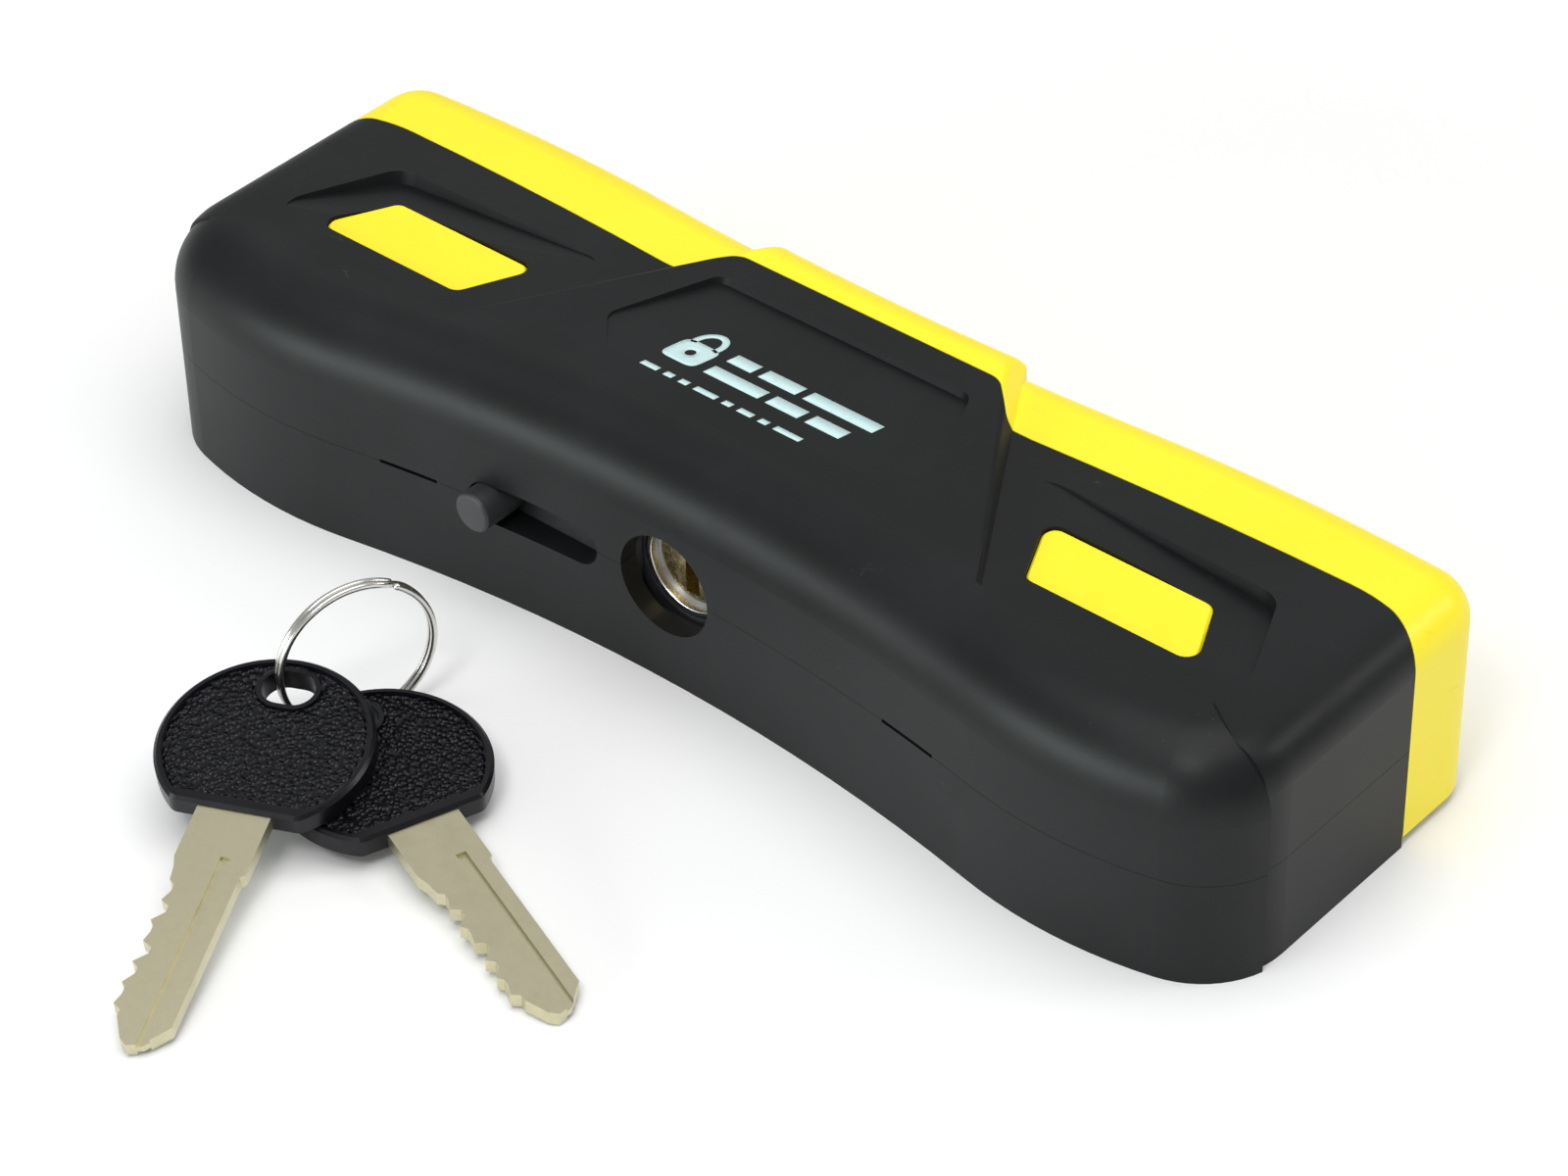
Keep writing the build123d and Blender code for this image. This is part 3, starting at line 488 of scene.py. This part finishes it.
@dataclass(frozen=True)
class TurnedBrass:
    """Lathe-turned brass with rings about the cylinder's axis and a darker rim."""

    name: str = "turned_brass"
    light: Colour = (0.90, 0.72, 0.38)
    dark: Colour = (0.52, 0.36, 0.15)
    axis_z: float = 14.5 * MM
    ring_step: float = 0.22 * MM
    ring_relief: Pair = (0.006 * MM, 0.45)
    tarnish: Cloud = Cloud(1.4 * MM, 4, 0.7, span=(0.45, 0.80))
    tarnish_share: float = 0.30
    rim_span: Pair = (3.6 * MM, 5.2 * MM)
    rim_share: float = 0.20
    grain: Cloud = Cloud(0.4 * MM, 3)
    grain_relief: Pair = (0.006 * MM, 0.4)
    roughness: float = 0.24
    tarnish_dulling: float = 0.16

    def build(self) -> bpy.types.Material:
        """Make the material."""
        tree = Tree(self.name)
        height = tree.z - self.axis_z
        reach = (tree.x * tree.x + height * height) ** 0.5
        rings = (reach * (2 * math.pi / self.ring_step)).sine() * 0.5 + 0.5
        tarnish = self.tarnish.lay(tree)
        darker = tarnish * self.tarnish_share + reach.rise(*self.rim_span) * self.rim_share
        colour = tree.tint(self.light, self.dark, darker.least(1.0))
        relief = tree.bump(rings, *self.ring_relief)
        relief = tree.bump(self.grain.lay(tree), *self.grain_relief, relief)
        rough = self.roughness + tarnish * self.tarnish_dulling
        return tree.close(Base_Color=colour, Roughness=rough, Metallic=1.0, Normal=relief)


@dataclass(frozen=True)
class SoftPlastic:
    """Plain dark moulded plastic or rubber for small parts: acetal shutter, liners."""

    name: str
    colour: Colour
    pale: Colour
    roughness: float
    cloud: Cloud = Cloud(3 * MM, 4, 0.6)
    pale_span: Pair = (0.3, 0.8)
    pale_share: float = 0.5
    grain: Cloud = Cloud(0.25 * MM, 2, 0.5, 2.0)
    grain_relief: Pair = (0.010 * MM, 0.7)
    rub: Cloud = Cloud(0.9 * MM, 4, 0.7, 5.0, (0.15, 1, 1), (0.60, 0.78))
    rub_share: float = 0.5
    cloud_dulling: float = 0.08
    rub_dulling: float = 0.06

    def build(self) -> bpy.types.Material:
        """Make the material."""
        tree = Tree(self.name)
        cloud, rub = self.cloud.lay(tree), self.rub.lay(tree)
        paler = cloud.rise(*self.pale_span) * self.pale_share + rub * self.rub_share
        colour = tree.tint(self.colour, self.pale, paler.least(1.0))
        rough = self.roughness + cloud * self.cloud_dulling + rub * self.rub_dulling
        relief = tree.bump(self.grain.lay(tree), *self.grain_relief)
        return tree.close(Base_Color=colour, Roughness=rough, Normal=relief)


@dataclass(frozen=True)
class PebbledBow:
    """Glossy near-black key bow with a pebbled panel inside a smooth raised rim.

    The pebble is masked in the bow's own plane: u runs from the bow's middle towards the tip,
    v across. The boss round the ring hole stays smooth.
    """

    name: str
    centre: Triple
    along: Triple
    across: Triple
    deep: Colour = (0.0012, 0.0014, 0.0032)
    pale: Colour = (0.0052, 0.0056, 0.0095)
    panel_radius: float = 12.0 * MM
    panel_end: float = 8.8 * MM
    panel_fade: float = 0.4 * MM
    boss_middle: float = -8.3 * MM
    boss_squash: float = 0.66
    boss_span: Pair = (3.1 * MM, 3.6 * MM)
    warp: Cloud = Cloud(1.3 * MM, 2, 0.5, 1.0)
    pebble_size: float = 0.72 * MM
    pebble_fall: float = 1.10
    pebble_warp: float = 0.4
    pebble_relief: Pair = (0.55 * MM, 1.0)
    lint: Cloud = Cloud(0.5 * MM, 4, 0.75, 6.0, span=(0.70, 0.84))
    lint_share: float = 0.7
    warp_share: float = 0.3
    grain: Cloud = Cloud(0.2 * MM, 2, 0.5)
    grain_relief: Pair = (0.008 * MM, 0.5)
    roughness: float = 0.27
    warp_dulling: float = 0.10
    lint_dulling: float = 0.25
    panel_dulling: float = 0.02
    specular: float = 0.32

    def build(self) -> bpy.types.Material:
        """Make the material."""
        tree = Tree(self.name)
        u = tree.along(self.along, self.centre)
        v = tree.along(self.across, self.centre)
        reach = (u * u + v * v) ** 0.5
        from_boss = u - self.boss_middle
        from_hole = (from_boss * from_boss + v * v * self.boss_squash) ** 0.5
        panel = (reach.rise(self.panel_radius, self.panel_radius - self.panel_fade)
                 * u.rise(self.panel_end, self.panel_end - self.panel_fade)
                 * from_hole.rise(*self.boss_span))
        warp = self.warp.lay(tree)
        fall = self.pebble_fall + warp * self.pebble_warp
        pebble = (1 - tree.cells(self.pebble_size) * fall).most(0.0)
        lint = self.lint.lay(tree)
        paler = (lint * self.lint_share + warp * self.warp_share).least(1.0)
        colour = tree.tint(self.deep, self.pale, paler)
        rough = (self.roughness + warp * self.warp_dulling + lint * self.lint_dulling
                 - panel * self.panel_dulling)
        relief = tree.bump(pebble * panel, *self.pebble_relief)
        relief = tree.bump(self.grain.lay(tree), *self.grain_relief, relief)
        return tree.close(Base_Color=colour, Roughness=rough, Normal=relief,
                          Specular_IOR_Level=self.specular)


@dataclass(frozen=True)
class PaleInk:
    """Pale grey-green screen print, slightly thin in places."""

    name: str = "pale_ink"
    full: Colour = (0.52, 0.70, 0.70)
    thin: Colour = (0.36, 0.50, 0.51)
    wear: Cloud = Cloud(0.7 * MM, 4, 0.7, span=(0.50, 0.78))
    wear_share: float = 0.6
    grain: Cloud = Cloud(0.3 * MM, 2)
    grain_relief: Pair = (0.008 * MM, 0.6)
    roughness: float = 0.50
    wear_dulling: float = 0.1

    def build(self) -> bpy.types.Material:
        """Make the material."""
        tree = Tree(self.name)
        worn = self.wear.lay(tree)
        colour = tree.tint(self.full, self.thin, worn * self.wear_share)
        relief = tree.bump(self.grain.lay(tree), *self.grain_relief)
        rough = self.roughness + worn * self.wear_dulling
        return tree.close(Base_Color=colour, Roughness=rough, Normal=relief)


# ---------------------------------------------------------------- meshes from numpy surfaces
def mesh_from_grid(name: str, grid: np.ndarray, closed: bool) -> bpy.types.Object:
    """Make an object from a grid of points whose columns go round a section.

    Formula: point (i, j) is joined with (i+1, j), (i+1, j+1) and (i, j+1) into one quad, and
    the last column with the first. A closed path joins its last row to its first; an open one
    gets one flat cap at each end.

    Args:
        name: The piece's name.
        grid: Points as an array of shape (rows, columns, 3).
        closed: Whether the rows close on themselves.

    Returns:
        The object, linked to the scene, with its faces outwards and smooth.
    """
    rows, columns = grid.shape[:2]
    row = np.arange(rows if closed else rows - 1)[:, None]
    here, ahead = row * columns, (row + 1) % rows * columns
    column = np.arange(columns)[None, :]
    beside = (column + 1) % columns
    corners = [here + column, ahead + column, ahead + beside, here + beside]
    faces = np.stack(corners, -1).reshape(-1, 4).tolist()
    if not closed:
        faces.append(list(range(columns)))
        faces.append(list(range(rows * columns - 1, (rows - 1) * columns - 1, -1)))
    mesh = bpy.data.meshes.new(name)
    mesh.from_pydata(grid.reshape(-1, 3).tolist(), [], faces)
    face_outwards(mesh)
    piece = bpy.data.objects.new(name, mesh)
    bpy.context.scene.collection.objects.link(piece)
    return piece


def face_outwards(mesh: bpy.types.Mesh) -> None:
    """Turn a closed mesh's faces outwards and shade it smooth.

    Formula: the sum over all triangles of corner 1 dotted with the cross product of corners 2
    and 3 is six times the enclosed volume, and is negative where the faces point inwards.

    Args:
        mesh: The mesh to turn.
    """
    mesh.validate()
    mesh.calc_loop_triangles()
    places = np.empty(3 * len(mesh.vertices), np.float32)
    mesh.vertices.foreach_get("co", places)
    triangles = np.empty(3 * len(mesh.loop_triangles), np.int32)
    mesh.loop_triangles.foreach_get("vertices", triangles)
    first, second, third = places.astype(float).reshape(-1, 3)[triangles.reshape(-1, 3).T]
    if np.einsum("ij,ij->", first, np.cross(second, third)) < 0:
        mesh.flip_normals()
    mesh.polygons.foreach_set("use_smooth", np.ones(len(mesh.polygons), bool))
    mesh.update()


def wear(piece: bpy.types.Object, material: bpy.types.Material) -> None:
    """Give a piece its one material."""
    if not piece.data.materials:
        piece.data.materials.append(material)
    for holder in piece.material_slots:
        holder.material = material


def dress(material: bpy.types.Material, nodes: Sequence[str]) -> None:
    """Put a material on modelled nodes.

    Args:
        material: The finish.
        nodes: Names of the nodes.
    """
    for name in nodes:
        wear(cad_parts[name], material)
        log.info("%s: %s", name, material.name)


# ---------------------------------------------------------------- sub-assemblies
@dataclass
class Casing:
    """Black shells, yellow band, windows and caps."""

    black: CasingBlack = CasingBlack()
    yellow: BandYellow = BandYellow()

    def dress(self) -> None:
        """Finish the casing's modelled nodes."""
        dress(self.black.build(), ["upper_shell", "lower_shell"])
        dress(self.yellow.build(),
              ["rear_band", "window_insert_left", "window_insert_right", "band_screw_caps"])


@dataclass
class PrintedMark:
    """Generic printed mark on the lock's top: a padlock, slanted bars and a row of dashes.

    Every shape is a thin slab that lies on the top surface, whose height is the lesser of the
    recess floor and the plane that climbs towards the rear. Bars and dashes are given by their
    starts and ends in millimetres along X.
    """

    ink: PaleInk = PaleInk()
    recess_z: float = 32.0 * MM
    start_z: float = 31.8 * MM
    start_y: float = -10.5 * MM
    climb: float = 1.8 / 35.4
    lift: float = 0.012 * MM
    thickness: float = 0.035 * MM
    slant: float = 0.22
    padlock_x: float = -12.4 * MM
    body_y: float = -1.1 * MM
    body_half: float = 2.7 * MM
    body_squash: float = 1.18
    body_power: int = 5
    hole_share: float = 0.24
    body_turns: int = 96
    shackle_y: float = 1.45 * MM
    shackle_reach: Pair = (1.75 * MM, 2.15 * MM)
    shackle_overrun: float = 0.35
    shackle_points: int = 40
    thin_half: float = 0.42 * MM
    bar_half: float = 0.95 * MM
    bar_points: int = 24
    upper_y: float = 1.25 * MM
    upper_bars: tuple[Pair, ...] = ((-8.2, -4.4), (-3.2, 2.6), (3.8, 14.6))
    lower_y: float = -2.15 * MM
    lower_bars: tuple[Pair, ...] = ((-8.2, 0.4), (1.6, 6.6), (7.8, 13.0))
    dash_y: float = -6.1 * MM
    dash_start: float = -14.6
    dash_gap: float = 1.1
    dash_lengths: tuple[float, ...] = (2.6, 1.3, 1.3, 3.4, 1.3, 2.2, 1.3, 4.0)
    dash_points: int = 8

    def lay_down(self, plan: np.ndarray, level: np.ndarray) -> np.ndarray:
        """Lay plan points on the top surface.

        Formula: z is the lesser of the recess floor and start_z + climb times (y - start_y),
        plus the lift, plus level times the thickness. x leans by slant times y, so the mark is
        slightly italic.

        Args:
            plan: Points (..., 2) in metres.
            level: Share of the slab's thickness, for the last of the plan's leading axes.

        Returns:
            Points (..., 3).
        """
        x, y = plan[..., 0] + self.slant * plan[..., 1], plan[..., 1]
        surface = np.minimum(self.recess_z, self.start_z + self.climb * (y - self.start_y))
        return np.stack([x, y, surface + self.lift + level * self.thickness], -1)

    def band(self, name: str, path: np.ndarray, half: float) -> bpy.types.Object:
        """Make a band of ink along a path.

        Formula: at each path point the section is a flat rectangle, across the path from -half
        to +half and from level 0 to level 1, with three points along its top and three along
        its bottom.

        Args:
            name: The piece's name.
            path: Middle line (n, 2).
            half: Half its width.

        Returns:
            The slab.
        """
        run = np.gradient(path, axis=0)
        run /= np.linalg.norm(run, axis=1, keepdims=True)
        across = np.stack([-run[:, 1], run[:, 0]], -1)
        share = np.array([-1, 0, 1, 1, 0, -1])
        level = np.array([0, 0, 0, 1, 1, 1])
        plan = path[:, None] + across[:, None] * (half * share)[:, None]
        return mesh_from_grid(name, self.lay_down(plan, level), closed=False)

    def row(self, stem: str, spans: Sequence[Pair], y: float, half: float,
            points: int, first: int = 1) -> list[bpy.types.Object]:
        """Make a row of straight bands.

        Args:
            stem: Start of each piece's name; its number follows.
            spans: Starts and ends along X in millimetres.
            y: The row's place in metres.
            half: Half a band's width.
            points: Points along each band.
            first: Number of the first band.

        Returns:
            The slabs.
        """
        made = []
        for number, (start, end) in enumerate(spans, first):
            run = np.linspace(start, end, points) * MM
            path = np.stack([run, np.full_like(run, y)], -1)
            made.append(self.band(f"{stem}_{number}", path, half))
        return made

    def padlock_body(self) -> bpy.types.Object:
        """Make the padlock's body: a rounded square with a round hole.

        Formula: at each turn the outer edge is a superellipse and the inner edge a circle of
        hole_share times its size; the section runs from inner to outer along the bottom and
        back along the top.

        Returns:
            The slab.
        """
        turn = np.linspace(0, 2 * math.pi, self.body_turns, endpoint=False)
        ray = np.stack([np.cos(turn), np.sin(turn)], -1)
        wide, tall = np.abs(ray[:, 0]), np.abs(ray[:, 1] * self.body_squash)
        power = self.body_power
        outer = self.body_half / (wide ** power + tall ** power) ** (1 / power)
        inner = np.full_like(outer, self.body_half * self.hole_share)
        share = np.array([0, 0.33, 0.67, 1, 1, 0.67, 0.33, 0])
        level = np.array([0, 0, 0, 0, 1, 1, 1, 1])
        reach = inner[:, None] + (outer - inner)[:, None] * share
        plan = np.array([self.padlock_x, self.body_y]) + ray[:, None] * reach[..., None]
        return mesh_from_grid("print_padlock_body", self.lay_down(plan, level), closed=True)

    def shackle(self) -> bpy.types.Object:
        """Make the padlock's shackle: a band along the upper half of an ellipse."""
        turn = np.linspace(-self.shackle_overrun, math.pi + self.shackle_overrun,
                           self.shackle_points)
        wide, tall = self.shackle_reach
        path = np.stack([self.padlock_x + wide * np.cos(turn),
                         self.shackle_y + tall * np.sin(turn)], -1)
        return self.band("print_padlock_shackle", path, self.thin_half)

    def build(self) -> list[bpy.types.Object]:
        """Make every shape of the mark."""
        lengths = np.array(self.dash_lengths)
        ends = self.dash_start + np.cumsum(lengths + self.dash_gap) - self.dash_gap
        dashes = list(zip(ends - lengths, ends))
        return [
            self.padlock_body(),
            self.shackle(),
            *self.row("print_bar", self.upper_bars, self.upper_y, self.bar_half, self.bar_points),
            *self.row("print_bar", self.lower_bars, self.lower_y, self.bar_half, self.bar_points,
                      first=1 + len(self.upper_bars)),
            *self.row("print_dash", dashes, self.dash_y, self.thin_half, self.dash_points),
        ]

    def dress(self, made: Sequence[bpy.types.Object]) -> None:
        """Ink the shapes and fix them to the housing."""
        ink = self.ink.build()
        for piece in made:
            wear(piece, ink)
            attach(piece, "housing")
            log.info("%s: printed", piece.name)


@dataclass
class LockWorks:
    """Steel channel, lock cylinder, pinion, slider and bolt."""

    hardened: WorkedMetal = WorkedMetal("hardened_steel", (0.30, 0.30, 0.31),
                                        (0.12, 0.12, 0.125), 0.36, Lay.ALONG_X)
    bright: WorkedMetal = WorkedMetal("bright_plate", (0.74, 0.72, 0.68),
                                      (0.34, 0.32, 0.29), 0.20, Lay.ALONG_Z)
    zinc: WorkedMetal = WorkedMetal("cast_zinc", (0.46, 0.46, 0.47),
                                    (0.24, 0.24, 0.25), 0.45, line=0.5 * MM)
    screw: WorkedMetal = WorkedMetal("screw_plate", (0.50, 0.50, 0.48),
                                     (0.22, 0.22, 0.20), 0.30)
    brass: TurnedBrass = TurnedBrass()
    liner: SoftPlastic = SoftPlastic("liner_rubber", (0.018, 0.018, 0.018),
                                     (0.035, 0.035, 0.035), 0.70)

    def dress(self) -> None:
        """Finish the mechanism's modelled nodes."""
        dress(self.hardened.build(), ["channel_core", "drive_pinion", "toothed_slider"])
        dress(self.bright.build(), ["cylinder_ring", "bolt", "bolt_pin", "plug_clip",
                                    "detent_ball", "detent_spring"])
        dress(self.zinc.build(), ["cylinder_housing", "bolt_guide"])
        dress(self.screw.build(), ["shell_screws", "mechanism_screws", "band_screws"])
        dress(self.brass.build(), ["cylinder_plug", "wafer_tumblers"])
        dress(self.liner.build(), ["channel_liners"])


@dataclass
class Shutter:
    """Sliding shutter with its knob and guide."""

    acetal: SoftPlastic = SoftPlastic("shutter_acetal", (0.022, 0.023, 0.025),
                                      (0.042, 0.043, 0.047), 0.44)

    def dress(self) -> None:
        """Finish the shutter's modelled nodes."""
        dress(self.acetal.build(), ["shutter_plate", "shutter_knob", "shutter_guide"])


@dataclass
class Key:
    """One key: a pebbled plastic bow on a nickel-plated blade.

    The key's own plane comes from its heading in the floor plane and its dip towards the tip,
    in degrees.
    """

    number: int
    centre: Triple
    heading: float
    dip: float

    def dress(self, nickel: bpy.types.Material) -> None:
        """Finish the key's modelled nodes.

        Args:
            nickel: The blade's plating, shared by the keys.
        """
        turn, fall = math.radians(self.heading), math.radians(self.dip)
        level = math.cos(fall)
        along = (math.cos(turn) * level, math.sin(turn) * level, -math.sin(fall))
        across = (-math.sin(turn), math.cos(turn), 0.0)
        bow = PebbledBow(f"key_{self.number}_bow_plastic", self.centre, along, across)
        dress(bow.build(), [f"key_{self.number}_bow"])
        dress(nickel, [f"key_{self.number}_blade"])


@dataclass
class KeyPair:
    """The two keys, which share one plating."""

    nickel: WorkedMetal = WorkedMetal("key_nickel", (0.64, 0.60, 0.42), (0.41, 0.37, 0.24), 0.30,
                                      line=0.22 * MM)
    places: tuple[tuple[Triple, float, float], ...] = (
        ((-20.6 * MM, -67.3 * MM, 8.5 * MM), -65.2, 9.4),
        ((-10.9 * MM, -58.2 * MM, 4.3 * MM), -19.4, 4.1),
    )

    def dress(self) -> None:
        """Finish both keys."""
        nickel = self.nickel.build()
        for number, (centre, heading, dip) in enumerate(self.places, 1):
            Key(number, centre, heading, dip).dress(nickel)


@dataclass
class SplitRing:
    """Key ring wound twice from flattened wire, with a step from one turn to the other."""

    centre: Triple = (-22.6 * MM, -50.2 * MM, 10.9 * MM)
    heading: float = 70.0
    radius: float = 9.95 * MM
    half_pitch: float = 0.38 * MM
    wire_across: float = 0.42 * MM
    wire_along: float = 0.37 * MM
    wire_power: float = 2.6
    step_at: float = 1.0
    step_width: float = 0.45
    end_length: float = 0.25 * MM
    end_least: float = 0.04
    path_points: int = 481
    section_points: int = 14
    steel: WorkedMetal = WorkedMetal("ring_wire", (0.78, 0.77, 0.74), (0.40, 0.38, 0.35), 0.16,
                                     line=0.3 * MM)

    def section(self) -> tuple[np.ndarray, np.ndarray]:
        """Work out the wire's section.

        Formula: a superellipse, so each coordinate is the sign of the turn's cosine or sine
        times its size raised to 2 over the power.

        Returns:
            Distances across and along the ring's axis.
        """
        around = np.linspace(0, 2 * math.pi, self.section_points, endpoint=False)
        across, along = np.cos(around), np.sin(around)
        power = 2 / self.wire_power
        return (self.wire_across * np.sign(across) * np.abs(across) ** power,
                self.wire_along * np.sign(along) * np.abs(along) ** power)

    def build(self) -> bpy.types.Object:
        """Make the wound ring.

        Formula: over two turns the middle line runs round a circle, and its offset along the
        ring's axis steps smoothly from minus to plus half the pitch where the first turn ends.
        The section is drawn in to a rounded point over the last quarter millimetre at each
        end.

        Returns:
            The ring.
        """
        turn = np.linspace(0.0, 4 * math.pi, self.path_points)
        step = np.clip((turn - 2 * math.pi) / self.step_width + 0.5, 0, 1)
        offset = self.half_pitch * (2 * (step * step * (3 - 2 * step)) - 1)
        head = math.radians(self.heading)
        level = np.array([math.cos(head), math.sin(head), 0.0])
        axis = np.array([math.sin(head), -math.cos(head), 0.0])
        upright = np.array([0.0, 0.0, 1.0])
        angle = turn + self.step_at
        ray = np.cos(angle)[:, None] * level + np.sin(angle)[:, None] * upright
        out, side = self.section()
        to_end = np.minimum(turn, turn[-1] - turn) * self.radius / self.end_length
        taper = np.sqrt(np.clip(1 - (1 - np.clip(to_end, 0, 1)) ** 2, self.end_least, 1))
        middle = np.array(self.centre) + ray * self.radius + axis * offset[:, None]
        grid = (middle[:, None] + ray[:, None] * (out * taper[:, None])[..., None]
                + axis * (side * taper[:, None])[..., None])
        return mesh_from_grid("split_ring_wound", grid, closed=False)

    def dress(self, ring: bpy.types.Object) -> None:
        """Plate the ring and let it stand for its node."""
        wear(ring, self.steel.build())
        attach(ring, "key_ring")
        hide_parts("split_ring")
        log.info("%s: two turns of wire", ring.name)


# ---------------------------------------------------------------- studio
@dataclass(frozen=True)
class Softbox:
    """One soft rectangular light, aimed at a point of the lock."""

    name: str
    place: Triple
    size: Pair
    watts: float
    colour: Colour = (1.0, 1.0, 1.0)
    aim: Triple = (0.0, 0.0, 0.015)

    def build(self) -> None:
        """Hang the light."""
        lamp = bpy.data.lights.new(self.name, "AREA")
        lamp.shape = "RECTANGLE"
        lamp.size, lamp.size_y = self.size
        lamp.energy = self.watts
        lamp.color = self.colour
        holder = bpy.data.objects.new(self.name, lamp)
        holder.location = self.place
        direction = Vector(self.aim) - Vector(self.place)
        holder.rotation_euler = direction.to_track_quat("-Z", "Y").to_euler()
        bpy.context.scene.collection.objects.link(holder)


@dataclass
class Studio:
    """Plain pale floor, soft lights and the camera."""

    floor_size: float = 6.0
    floor_cells: int = 40
    floor_drop: float = 0.01 * MM
    floor_light: Colour = (0.93, 0.93, 0.93)
    floor_dark: Colour = (0.91, 0.91, 0.91)
    floor_cloud: Cloud = Cloud(0.4, 3)
    floor_roughness: float = 0.9
    sky: Colour = (1.0, 1.0, 1.0)
    sky_strength: float = 0.37
    camera_place: Triple = (0.30627, -0.34402, 0.36694)
    camera_right: Triple = (0.75618, 0.65409, -0.01878)
    camera_up: Triple = (-0.38453, 0.46740, 0.79604)
    camera_back: Triple = (0.52946, -0.59473, 0.60495)
    sensor: float = 36.0
    lens: float = 109.67
    shift: Pair = (0.0037, -0.0638)
    clip: Pair = (0.01, 50.0)
    boxes: tuple[Softbox, ...] = (
        Softbox("overhead", (0.10, -0.05, 1.00), (1.1, 0.9), 6.6),
        Softbox("rear_left", (-0.85, 0.95, 0.96), (1.3, 1.0), 1.2),
        Softbox("front_low", (-0.35, -1.10, 0.20), (0.9, 0.26), 8.5, (0.92, 1.0, 0.99)),
        Softbox("front_high", (0.22, -0.62, 0.85), (0.25, 0.20), 2.2),
        Softbox("right_rear", (0.80, 0.75, 0.70), (0.35, 0.25), 2.2),
    )

    def floor(self) -> None:
        """Lay the floor.

        Formula: a flat square grid just below z = 0, so that nothing flickers where the lock
        stands on it.
        """
        half, cells = self.floor_size / 2, self.floor_cells
        side = np.linspace(-half, half, cells + 1)
        x, y = np.meshgrid(side, side, indexing="ij")
        z = np.full_like(x, -self.floor_drop)
        row, column = np.arange(cells)[:, None], np.arange(cells)[None, :]
        corner = (row * (cells + 1) + column).ravel()
        faces = np.stack([corner, corner + cells + 1, corner + cells + 2, corner + 1], -1)
        mesh = bpy.data.meshes.new("floor")
        mesh.from_pydata(np.stack([x, y, z], -1).reshape(-1, 3).tolist(), [], faces.tolist())
        floor = bpy.data.objects.new("floor", mesh)
        bpy.context.scene.collection.objects.link(floor)
        tree = Tree("floor_paper")
        paper = tree.tint(self.floor_light, self.floor_dark, self.floor_cloud.lay(tree))
        wear(floor, tree.close(Base_Color=paper, Roughness=self.floor_roughness))

    def world(self) -> None:
        """Fill the surroundings with pale light."""
        world = bpy.data.worlds.new("studio")
        world.use_nodes = True
        nodes = world.node_tree.nodes
        background = next(node for node in nodes if node.type == "BACKGROUND")
        background.inputs["Color"].default_value = rgba(self.sky)
        background.inputs["Strength"].default_value = self.sky_strength
        bpy.context.scene.world = world
        bpy.context.scene.view_settings.view_transform = "Standard"

    def camera(self) -> None:
        """Stand the camera at its place and turn it by its own three axes."""
        data = bpy.data.cameras.new("camera")
        data.lens, data.sensor_width = self.lens, self.sensor
        data.shift_x, data.shift_y = self.shift
        data.clip_start, data.clip_end = self.clip
        camera = bpy.data.objects.new("camera", data)
        axes = Matrix((self.camera_right, self.camera_up, self.camera_back))
        turn = axes.transposed().to_4x4()
        camera.matrix_world = Matrix.Translation(self.camera_place) @ turn
        bpy.context.scene.collection.objects.link(camera)
        bpy.context.scene.camera = camera

    def build(self) -> None:
        """Set up floor, surroundings, lights and camera."""
        self.floor()
        self.world()
        for box in self.boxes:
            box.build()
        self.camera()


def main() -> None:
    """Build the studio and the sub-assemblies in order."""
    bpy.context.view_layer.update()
    Studio().build()
    Casing().dress()
    mark = PrintedMark()
    mark.dress(mark.build())
    LockWorks().dress()
    Shutter().dress()
    KeyPair().dress()
    ring = SplitRing()
    ring.dress(ring.build())


if __name__ == "__main__":
    main()
